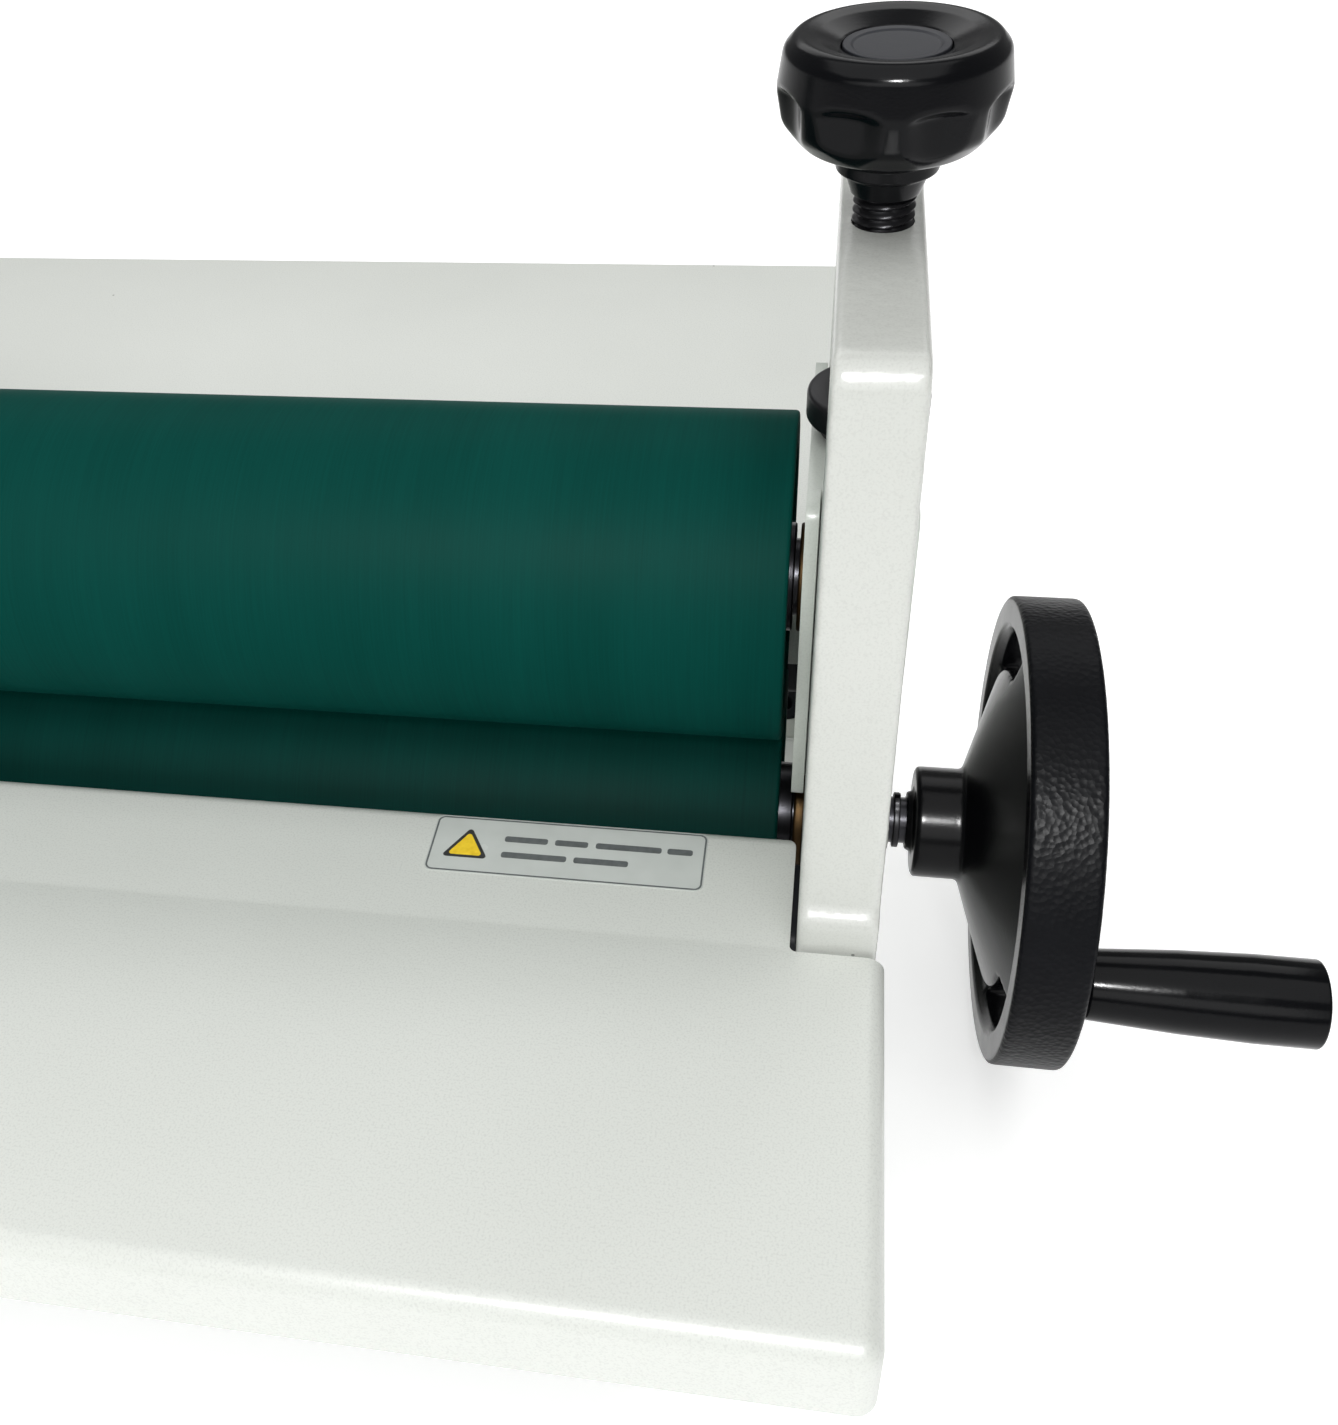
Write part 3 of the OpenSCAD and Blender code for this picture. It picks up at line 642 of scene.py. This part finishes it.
def label():
    """A clear label with a fine outline, a plain yellow triangle and two rows of plain bars."""
    low, high = span("caution_label")
    base = TABLE_Z
    middle = (low.x + high.x) / 2
    row = (low.y + high.y) / 2
    half_l, half_w = (high.x - low.x) / 2, (high.y - low.y) / 2

    def patch(name, corners, bottom, top, finish):
        piece = prism(name, [(middle + u, row + v) for u, v in corners], bottom, top, "Z")
        finished(piece, finish, "label_film", body=BODY_OF["caution_label"])
        return piece

    whole = box_outline(-half_l, half_l, -half_w, half_w, 1.5)
    sheet = patch("label_sheet", whole, base, base + 0.10, film)
    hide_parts("caution_label")
    outer = box_outline(-half_l + 0.2, half_l - 0.2, -half_w + 0.2, half_w - 0.2, 1.4)
    inner = box_outline(-half_l + 0.55, half_l - 0.55, -half_w + 0.55, half_w - 0.55, 1.1)
    count = len(outer)
    rings = [(outer, base + 0.08), (outer, base + 0.115), (inner, base + 0.115), (inner, base + 0.08)]
    points = [(middle + u, row + v, z) for line, z in rings for u, v in line]
    faces = []
    for i in range(4):
        row_a, row_b = i * count, (i + 1) % 4 * count
        for k in range(count):
            nxt = (k + 1) % count
            faces.append([row_a + k, row_a + nxt, row_b + nxt, row_b + k])
    border = face_outward(mesh_object("label_border", points, faces))
    finished(border, grey_ink, "label_film", body=BODY_OF["caution_label"])

    def triangle(size, radius):
        centre = -half_l + 7.2
        ring = [(centre + size * math.cos(a), -0.8 + size * math.sin(a), radius)
                for a in (math.pi / 2, math.pi * 7 / 6, math.pi * 11 / 6)]
        return rounded(ring)

    patch("label_triangle_edge", triangle(5.3, 0.6), base + 0.08, base + 0.12, dark_ink)
    patch("label_triangle", triangle(4.0, 0.5), base + 0.09, base + 0.13, yellow)
    rows = (
        (2.1, ((14.2, 22.6), (24.0, 30.4), (31.9, 44.5), (45.6, 50.4))),
        (-2.0, ((14.2, 26.8), (28.2, 38.6))),
    )
    bars = []
    bar_half = 0.75
    edge = middle - half_l
    for middle_v, stretches in rows:
        low_v, high_v = row + middle_v - bar_half, row + middle_v + bar_half
        for start, end in stretches:
            corners = box_outline(edge + start, edge + end, low_v, high_v, 0.5)
            bars.append(prism("bar", corners, base + 0.08, base + 0.12, "Z"))
    finished(gathered(bars, "label_bars"), grey_ink, "label_film", body=BODY_OF["caution_label"])


# ---------------------------------------------------------------- rails, feet and screws


def rail(name, sy):
    """A square tube with rounded corners and solid ends."""
    half = 10
    outer = box_outline(sy * RAIL_Y - half, sy * RAIL_Y + half, RAIL_LOW.z, RAIL_HIGH.z, 2.4, 4)
    piece = prism("tube_" + name, outer, -FRAME_IN, FRAME_IN)
    return finished(edged(piece, 0.4), rail_black, "rail_paint", name)


def socket_screw(centre, seat, head_r, head_t, shank_r, start, hex_r):
    """A cap screw that points inward along X, with its head on the far side of seat."""
    outer = seat + head_t
    profile = rounded([
        (shank_r - 0.6, start, 0), (shank_r, start + 0.6, 0), (shank_r, seat, 0), (head_r, seat, 0.3),
        (head_r, outer, 0.7), (hex_r + 0.5, outer, 0),
    ], closed=False, steps=4)
    screw = lathe("screw", profile, centre, around=48)
    key = lathe("key", [(hex_r, outer - head_t * KEY_DEPTH), (hex_r, outer + PAST)], centre, around=6)
    return combined(screw, [key], "DIFFERENCE")


def rail_screws():
    seat = FRAME_OUT - HEAD_SINK
    screws = [
        flipped(socket_screw((sy * RAIL_Y, RAIL_Z), seat, 6.5, 7.5, 4, FRAME_IN - 13, 3.4), sx)
        for sx in (-1, 1) for sy in (-1, 1)
    ]
    return finished(gathered(screws, "rail_cap_screws"), zinc, "fastener_steel", "rail_screws")


def foot(name, sx, sy):
    """A rubber foot with a rounded, ribbed side and a spigot up into the casting."""
    section = rounded([
        (3.5, 0, 0.4), (13.2, 0, 0.8), (15, 1.9, 1.0), (14.6, 4.2, 0.6), (14.1, 4.6, 0.4),
        (14.1, 5.2, 0.4), (14.5, 5.6, 0.5), (14.1, FOOT_TOP, 0.7), (7, FOOT_TOP, 0.2),
        (7, FOOT_TOP + 10, 0.8), (3.5, FOOT_TOP + 10, 0.6),
    ], steps=3)
    piece = lathe("rubber_" + name, section, (sx * FOOT_X, sy * FOOT_Y), "Z", ring=True)
    return finished(piece, foot_black, "foot_rubber", name)


# ---------------------------------------------------------------- rollers


def ring_section(r_in, r_out, start, end, soft):
    """The section of a tube whose four edges are rounded."""
    corners = [(r_in, start, soft), (r_out, start, soft), (r_out, end, soft), (r_in, end, soft)]
    return rounded(corners, steps=3)


def roller(where, z):
    """Rubber over a steel tube, set back a little at the ends."""
    sleeve = lathe(
        where + "_rubber", ring_section(CORE_R, ROLLER_R, -ROLLER_END, ROLLER_END, 0.7), (0, z), around=160,
        ring=True,
    )
    finished(sleeve, green, "green_rubber", where + "_roller_sleeve", crease=50)
    tube = lathe(
        where + "_tube", ring_section(CORE_R - 4, CORE_R, -CORE_END, CORE_END, 0.4), (0, z), ring=True
    )
    finished(tube, steel_x, "roller_steel", where + "_roller_core")


def plug(name, node, side, z, steps):
    """An end plug turned with steps, each (radius, outer X); its edges are slightly rounded."""
    start = ROLLER_END - 17
    chamfer = 0.5
    corners = [(steps[0][0] - chamfer, start, 0)]
    for i, (radius, end) in enumerate(steps):
        corners.append((radius, start + (chamfer if i == 0 else 0), 0))
        corners.append((radius, end, 0.35))
        start = end
    corners.append((steps[-1][0] - 1.2, start, 0))
    piece = lathe(name, rounded(corners, closed=False, steps=3), (0, z), around=72)
    return finished(flipped(piece, side), shaft_blacked_and_shaded, "roller_steel", node)


def bush(name, node, side, z, start, end, flange):
    """A bronze bush; a flange of that thickness bears on the casting's inner face."""
    bore_r, flange_r = JOURNAL_R + BUSH_SLACK, 13
    section = [(bore_r, start - flange, 0.4)]
    if flange:
        section += [(flange_r, start - flange, 0.5), (flange_r, start, 0.2), (BUSH_R, start, 0)]
    else:
        section += [(BUSH_R, start, 0.4)]
    section += [(BUSH_R, end, 0.5), (bore_r, end, 0.4)]
    piece = lathe(name, rounded(section, steps=3), (0, z), ring=True)
    return finished(flipped(piece, side), bronze_darkened_as_shade, "bronze", node)


def retaining_ring(side):
    """A snap ring with a gap and two lugs on the shaft outside the boss."""
    low, high = BOSS_END + END_PLAY, BOSS_END + 1.6
    lug_h, lug_spread = 1.1, 0.32

    def lugs(radius, along, angle):
        near = abs((angle - math.pi / 2 + math.pi) % TAU - math.pi)
        rise = lug_h * math.exp(-((near / lug_spread) ** 4))
        return radius + rise if radius > SHAFT_R + 0.5 else radius

    ring = lathe("snap", ring_section(4.4, 6, low, high, 0.25), (0, LOWER_Z), ring=True, shape=lugs)
    cut = box_outline(-0.5, 0.5, LOWER_Z + 3, LOWER_Z + 9, 0)
    gap = prism("gap", cut, low - 1, high + 1)
    return flipped(combined(ring, [gap], "DIFFERENCE"), side)


# ---------------------------------------------------------------- bearing blocks


def bearing_block(side_name):
    """A machined block with a flange that hides the window from the roller's side."""
    side = SIDES[side_name]
    inner = FRAME_IN - END_PLAY
    seat_r, spigot_hole_r = BUSH_R + BUSH_SLACK, SPIGOT_R + 0.1
    body = prism(
        "cast_block_" + side_name, box_outline(-20.8, 20.8, BLOCK_LOW.z, BLOCK_HIGH.z, 1.5), inner - 1,
        BLOCK_HIGH.x,
    )
    seen = BLOCK_LOW.x + 1.4
    flange = prism("flange", box_outline(-27, 27, BLOCK_LOW.z, BLOCK_HIGH.z, 3), seen, inner)
    piece = combined(body, [flange], "UNION")
    far = BLOCK_HIGH.x + 5
    cuts = [
        lathe("bush_bore", [(seat_r, BLOCK_LOW.x - 5), (seat_r, far)], (0, UPPER_Z)),
        lathe(
            "spigot_bore", [(spigot_hole_r, BLOCK_HIGH.z - 15), (spigot_hole_r, BLOCK_HIGH.z + 5)],
            (SCREW_X, 0), "Z", 48,
        ),
    ]
    piece = edged(combined(piece, cuts, "DIFFERENCE"), 0.5, 3)
    finished(flipped(piece, side), block_enamel, "block_paint", "bearing_block_" + side_name, crease=30)
    plate = prism(
        "plate_keeper_" + side_name, box_outline(-25, 25, KEEPER_LOW.z, KEEPER_HIGH.z, 3), KEEPER_LOW.x,
        KEEPER_HIGH.x,
    )
    finished(edged(flipped(plate, side), 0.45, 3), block_enamel, "block_paint", "keeper_plate_" + side_name)
    bush("bronze_top_" + side_name, "top_bush_" + side_name, side, UPPER_Z, BLOCK_LOW.x + 0.5, FRAME_OUT, 0)


def keeper_screws():
    """Slotted countersunk screws, four to a plate, flush with its face."""
    face = KEEPER_HIGH.x + 0.1
    shank_r, head_r, offset_y, inset_z, slot_half = 2, 3.5, 14, 7, 0.5
    profile = rounded([
        (shank_r, face - 9, 0), (shank_r, face - 1.6, 0), (head_r, face - 0.1, 0.05),
        (head_r - 0.3, face, 0.2), (0.4, face, 0),
    ], closed=False, steps=3)
    screws = []
    for sx in (-1, 1):
        for sy in (-1, 1):
            for z in (BLOCK_LOW.z + inset_z, BLOCK_HIGH.z - inset_z):
                y = sy * offset_y
                screw = lathe("flat_screw", profile, (y, z), around=40)
                cut = box_outline(y - slot_half, y + slot_half, z - 5, z + 5, 0)
                slot = prism("slot", cut, face - 0.8, face + 4)
                screws.append(flipped(combined(screw, [slot], "DIFFERENCE"), sx))
    return finished(gathered(screws, "keeper_flat_screws"), zinc, "fastener_steel", "keeper_screws")


# ---------------------------------------------------------------- pressure screws and knobs


def thread(radius, along, angle):
    """An M10 thread's radius, cut down from the screw's own and run out at both ends."""
    pitch, depth, flank, crest = 1.5, 0.85, 2.6, 0.15
    start, end = COLLAR_LOW.z + 1, SCREW_HIGH.z - 1
    phase = (along / pitch - angle / TAU) % 1
    valley = min(1.0, max(0.0, abs(phase - 0.5) * flank - crest))
    fade = min(1.0, max(0.0, (along - start) / pitch), max(0.0, (end - along) / pitch))
    return radius - depth * valley * fade


def pressure_screw(side_name):
    side = SIDES[side_name]
    low, high = SCREW_LOW.z, SCREW_HIGH.z
    neck, neck_r, neck_half = BLOCK_HIGH.z - 7, 2.9, 1.8
    step, chamfer, row_h = BLOCK_HIGH.z + END_PLAY, 0.6, 0.1875
    plain = [
        (SPIGOT_R - chamfer, low), (SPIGOT_R, low + chamfer), (SPIGOT_R, neck - neck_half),
        (neck_r, neck - neck_half), (neck_r, neck + neck_half), (SPIGOT_R, neck + neck_half),
        (SPIGOT_R, step),
    ]
    threaded = dense([(THREAD_R, step), (THREAD_R, high - chamfer), (THREAD_R - chamfer, high)], row_h)
    piece = lathe(
        "threaded_screw_" + side_name, plain + threaded, (SCREW_X, 0), "Z", 64,
        shape=lambda r, z, a: thread(r, z, a) if r > THREAD_R - 0.1 else r,
    )
    finished(flipped(piece, side), oxide, "black_steel", "pressure_screw_" + side_name, crease=40)
    under, top, shoulder = COLLAR_LOW.z, COLLAR_HIGH.z, COLLAR_LOW.z + 3
    bore_r, small_r, large_r = THREAD_R + 0.02, 8.3, 10.7
    section = rounded([
        (bore_r, under, 0.2), (small_r, under, 0.4), (small_r, shoulder, 0), (large_r, shoulder, 0.4),
        (large_r, top, 0.9), (bore_r, top, 0.3),
    ], steps=4)
    collar = lathe("turned_collar_" + side_name, section, (SCREW_X, 0), "Z", ring=True)
    finished(flipped(collar, side), oxide, "black_steel", "screw_collar_" + side_name)


def knob(side_name):
    """A lobed knob: a thick ring with eight broad flutes, a shallow dish on top and a stepped neck."""
    side = SIDES[side_name]
    low, top = KNOB_LOW.z, KNOB_HIGH.z
    outer = (KNOB_HIGH.x - KNOB_LOW.x) / 2
    base = low + 6.5
    cap_top = CAP_HIGH.z + CAP_LIFT
    lobes, flute_r, flute_depth, soft = 8, 9, 2.1, 1.3
    profile = rounded([
        (5.0, low + 0.3, 0), (5.5, low, 0.2), (6.6, low + 3.2, 0.8), (8.1, low + 3.9, 0.5),
        (8.1, base - 0.6, 0.4),
        (9.2, base + 0.1, 0.8), (13.6, base + 1.8, 3), (outer - 0.9, base + 5.0, 3.4),
        (outer + 0.05, base + 10.2, 5.5), (outer - 0.8, top - 2.0, 2.4), (outer - 2.8, top + 0.15, 2.0),
        (12.0, top - 0.5, 2.5), (CAP_R + 0.6, cap_top - 0.1, 1.0), (CAP_R + 0.1, cap_top - 0.4, 0.3),
        (CAP_R - 0.1, cap_top - 1.6, 0.2), (CAP_R - 0.6, cap_top - 1.8, 0),
    ], closed=False, steps=7)
    run_out = base + 9.6

    def fluted(radius, along, angle):
        if radius < 10 or along < base:
            return radius
        depth = flute_depth - 1.5 * max(0.0, along - run_out) ** 2 / 2.2
        turn = ((angle * lobes / TAU) % 1 - 0.5) * TAU / lobes
        away = outer + flute_r - depth
        sideways = away * math.sin(turn)
        if abs(sideways) >= flute_r:
            return radius
        wall = away * math.cos(turn) - math.sqrt(flute_r ** 2 - sideways ** 2)
        near = max(soft - abs(radius - wall), 0) / soft
        return min(radius, wall) - near * near * soft / 4

    piece = lathe(
        "lobed_knob_" + side_name, dense(profile, 0.55), (SCREW_X, 0), "Z", 192, shape=fluted
    )
    finished(flipped(piece, side), knob_black, "knob_plastic", "pressure_knob_" + side_name, crease=60)
    cap = rounded([
        (CAP_R - 0.1, cap_top - 1.8, 0), (CAP_R - 0.1, cap_top, 0.25),
        (CAP_R - 1.3, cap_top - 0.15, 0.3), (CAP_R - 1.7, cap_top - 0.4, 0.3),
        (0.5, cap_top - 0.3, 0),
    ], closed=False, steps=4)
    lid = lathe("dished_cap_" + side_name, cap, (SCREW_X, 0), "Z")
    finished(flipped(lid, side), cap_grey, "cap_plastic", "knob_cap_" + side_name, crease=50)


# ---------------------------------------------------------------- handwheel


def wheel_sector(r0, r1, middle, sweep, start, end):
    """A cutter for a window in the web: a ring sector with rounded corners."""
    spread = [middle + sweep * (k / 12 - 0.5) for k in range(13)]
    arc = [(r1, a) for a in spread] + [(r0, a) for a in reversed(spread)]
    ends = (0, 12, 13, 25)
    corners = []
    for i, (r, degrees) in enumerate(arc):
        a = math.radians(degrees)
        corners.append((r * math.cos(a), LOWER_Z + r * math.sin(a), 1.6 if i in ends else 0))
    return prism("sector", rounded(corners, steps=4), start, end)


def handwheel():
    """A dished moulded wheel: hub, conical web with two windows, a thick rim and a handle boss."""
    spacer_t, rim_w, rim_t, hub_r, spacer_r = 1.5, 14, 6.5, 12, 6.5
    hub_in, rim_out = WHEEL_LOW.x + spacer_t, WHEEL_HIGH.x
    rim_in = rim_out - rim_w
    rim_r = WHEEL_R - rim_t
    profile = rounded([
        (5.2, WHEEL_LOW.x, 0), (spacer_r, WHEEL_LOW.x, 0.3), (spacer_r, hub_in, 0), (hub_r, hub_in, 0.9),
        (hub_r, hub_in + 10, 0.6), (rim_r - 1.2, rim_in + 2.6, 1.5), (rim_r, rim_in, 1.0),
        (WHEEL_R, rim_in, 0.9), (WHEEL_R, rim_out, 0.9), (rim_r, rim_out, 0.9),
        (rim_r - 0.9, rim_in + 6.7, 2.0), (14, hub_in + 14, 2.5), (10, rim_in - 1, 1.0), (5.2, rim_in - 1, 0),
    ], closed=False, steps=6)
    piece = lathe("moulded_handwheel", profile, (0, LOWER_Z), around=192)
    boss_in, boss_r = rim_in + 3, 8.5
    corners = [(4, boss_in, 0), (boss_r, boss_in, 0), (boss_r, rim_out, 0.8), (4, rim_out, 0)]
    boss = lathe("handle_boss", rounded(corners, closed=False), (HANDLE_Y, HANDLE_Z), around=64)
    piece = combined(piece, [boss], "UNION")
    cuts = [wheel_sector(34, 42.5, at, 58, hub_in, rim_out + 3) for at in (45, 225)]
    bore_r = SHAFT_R + 0.02
    cuts.append(lathe("bore", [(bore_r, hub_in - 4), (bore_r, rim_out)], (0, LOWER_Z), around=64))
    piece = softened(combined(piece, cuts, "DIFFERENCE"), 0.5, 4)
    piece = finished(piece, wheel_black, "wheel_plastic", "handwheel", crease=180)
    piece.data.materials.append(rim_black)
    for face in piece.data.polygons:
        middle = face.center / MM
        if math.hypot(middle.y, middle.z - LOWER_Z) > WHEEL_R - 0.8:
            face.material_index = 1
    return piece


def handle():
    """The revolving grip: a slim tapered shell with a flat end, and a press-in cap."""
    start, end = GRIP_LOW.x, GRIP_HIGH.x
    centre = (HANDLE_Y, HANDLE_Z)
    bore_r, wide_r, cap_bore_r, cap_seat = 3.55, 8.6, 5.7, end - 8.3
    section = rounded([
        (bore_r, start, 0.3), (6.3, start, 0.7), (7.0, start + 1.4, 1.5), (8.1, start + 18, 20),
        (wide_r, start + 32, 20), (wide_r, end, 0.6), (cap_bore_r, end, 0.3), (cap_bore_r, cap_seat, 0),
        (bore_r, cap_seat, 0),
    ], steps=5)
    grip = lathe("revolving_grip", section, centre, ring=True)
    finished(grip, grip_black, "grip_plastic", "handle_grip", crease=45)
    cap = rounded([(5.6, end - 3, 0), (5.6, end - 0.4, 0.5), (0.4, end - 0.1, 0)], closed=False, steps=4)
    finished(lathe("grip_cap", cap, centre), wheel_black, "wheel_plastic", "grip_end_cap")
    low, high = reach("handle_spindle")
    root_r, pin_r, head_r, under_head = 3, 3.5, 5.2, high - 3
    pin = rounded([
        (root_r - 0.6, low, 0), (root_r, low + 0.6, 0), (root_r, WHEEL_HIGH.x, 0), (pin_r, WHEEL_HIGH.x, 0),
        (pin_r, under_head, 0), (head_r, under_head, 0.3), (head_r, high, 0.6), (2.0, high, 0),
    ], closed=False, steps=3)
    finished(lathe("shouldered_spindle", pin, centre, around=48), zinc, "fastener_steel", "handle_spindle")


# ---------------------------------------------------------------- the machine


def build():
    """Makes every piece; the small hidden fasteners keep their CAD meshes."""
    for side_name, side in SIDES.items():
        side_frame(side_name)
        bearing_block(side_name)
        pressure_screw(side_name)
        knob(side_name)
        bush(
            "bronze_lower_" + side_name, "lower_bush_" + side_name, side, LOWER_Z, FRAME_IN,
            FRAME_IN + BUSH_L, BUSH_FLANGE,
        )
        steps = ((PLUG_R, CORE_END), (BUSH_R, BLOCK_LOW.x - END_PLAY), (JOURNAL_R, FRAME_OUT - 0.5))
        plug("plug_top_" + side_name, "top_plug_" + side_name, side, UPPER_Z, steps)
        for place, sy in (("front", -1), ("rear", 1)):
            foot(f"foot_{place}_{side_name}", side, sy)
    drive = ((PLUG_R, CORE_END), (11, FRAME_IN - BUSH_FLANGE - END_PLAY), (JOURNAL_R, FRAME_IN + BUSH_L))
    plug("plug_lower_left", "lower_plug_left", -1, LOWER_Z, drive + ((SHAFT_R, FRAME_OUT + 9),))
    plug("shaft_lower_right", "drive_shaft", 1, LOWER_Z, drive + ((SHAFT_R, reach("drive_shaft")[1]),))
    roller("lower", LOWER_Z)
    roller("top", UPPER_Z)
    rings = gathered([retaining_ring(side) for side in (-1, 1)], "snap_rings")
    finished(rings, oxide, "black_steel", "shaft_rings")
    table("folded_front_table", "front_table", -SLOT_Y, -FRONT_Y)
    table("folded_rear_table", "rear_table", SLOT_Y, REAR_Y)
    label()
    rail("front_rail", -1)
    rail("rear_rail", 1)
    rail_screws()
    keeper_screws()
    handwheel()
    handle()
    centre = (0, LOWER_Z)
    start, end = reach("wheel_washer")
    washer = lathe("chamfered_washer", ring_section(2.6, 8, start, end, 0.3), centre, ring=True)
    finished(washer, zinc, "fastener_steel", "wheel_washer")
    low, high = reach("wheel_screw")
    screw = socket_screw(centre, end, 4.25, high - end, 2.5, low, 2.3)
    screw.name = "wheel_cap_screw"
    finished(screw, zinc, "fastener_steel", "wheel_screw")
    for node in ("table_studs", "table_nuts", "retaining_pins", "wheel_grub_screw"):
        kept = frame["nodes"][node]
        kept.data.materials.clear()
        kept.data.materials.append(zinc)


build()


# ---------------------------------------------------------------- floor, light and camera


def floor():
    """A white floor with a glow of its own, which keeps the shadows faint."""
    side = 6000
    corners = [(-side, -side, 0), (side, -side, 0), (side, side, 0), (-side, side, 0)]
    plane = mesh_object("floor", corners, [[0, 1, 2, 3]])
    look = Look("floor_paper", Specular_IOR_Level=0.1, Emission_Color=(1, 1, 1, 1), Emission_Strength=0.45)
    cloud = look.noise(3, 2)
    look.wear(Base_Color=look.ramp(cloud, (0.3, (0.90, 0.90, 0.90)), (0.7, (0.92, 0.92, 0.92))),
              Roughness=look.ranged(cloud, 0.85, 0.95))
    plane.data.materials.append(look.material)


def softbox(name, place, target, width, height, power):
    """A rectangular lamp turned toward target; metres and watts."""
    data = bpy.data.lights.new(name, "AREA")
    data.shape = "RECTANGLE"
    data.size, data.size_y = width, height
    data.energy = power
    lamp = bpy.data.objects.new(name, data)
    lamp.location = place
    lamp.rotation_mode = "QUATERNION"
    lamp.rotation_quaternion = (Vector(target) - Vector(place)).to_track_quat("-Z", "Y")
    bpy.context.scene.collection.objects.link(lamp)
    return lamp


def light():
    """Broad soft light, and a small bright lamp that shows in reflections only."""
    world = bpy.data.worlds.new("pale_studio")
    bpy.context.scene.world = world
    world.use_nodes = True
    sky = world.node_tree.nodes["Background"]
    sky.inputs["Color"].default_value = (1.0, 1.0, 1.0, 1)
    sky.inputs["Strength"].default_value = 0.22
    middle = (0.1, 0.0, 0.1)
    softbox("overhead", (0.1, -0.3, 2.0), middle, 3.0, 2.0, 30)
    softbox("back", (0.1, 1.6, 1.5), middle, 2.4, 1.0, 14)
    softbox("front", (0.1, -2.2, 0.9), middle, 2.6, 1.0, 9)
    softbox("low_front", (0.1, -1.0, 0.50), (0.1, -0.1, 0.08), 1.8, 0.4, 3.2)
    softbox("flash", (0.36, -0.60, 0.72), (0.33, 0.0, 0.10), 0.07, 0.05, 0.6)
    glint = softbox("glint", (0.35, -0.60, 0.74), (0.33, 0.0, 0.10), 0.11, 0.075, 11.0)
    glint.visible_diffuse = False


def camera():
    """A view down on the right-hand end, from the feeding side."""
    data = bpy.data.cameras.new("camera")
    data.sensor_width = 36
    data.lens = 37.71
    data.shift_x, data.shift_y = 0.0842, -0.0228
    data.clip_start, data.clip_end = 0.01, 50
    view = bpy.data.objects.new("camera", data)
    view.location = (0.32927, -0.23725, 0.29756)
    view.rotation_euler = Euler([math.radians(a) for a in (49.99, 3.80, 9.64)])
    bpy.context.scene.collection.objects.link(view)
    bpy.context.scene.camera = view


floor()
light()
camera()
bpy.context.scene.view_settings.view_transform = "Standard"
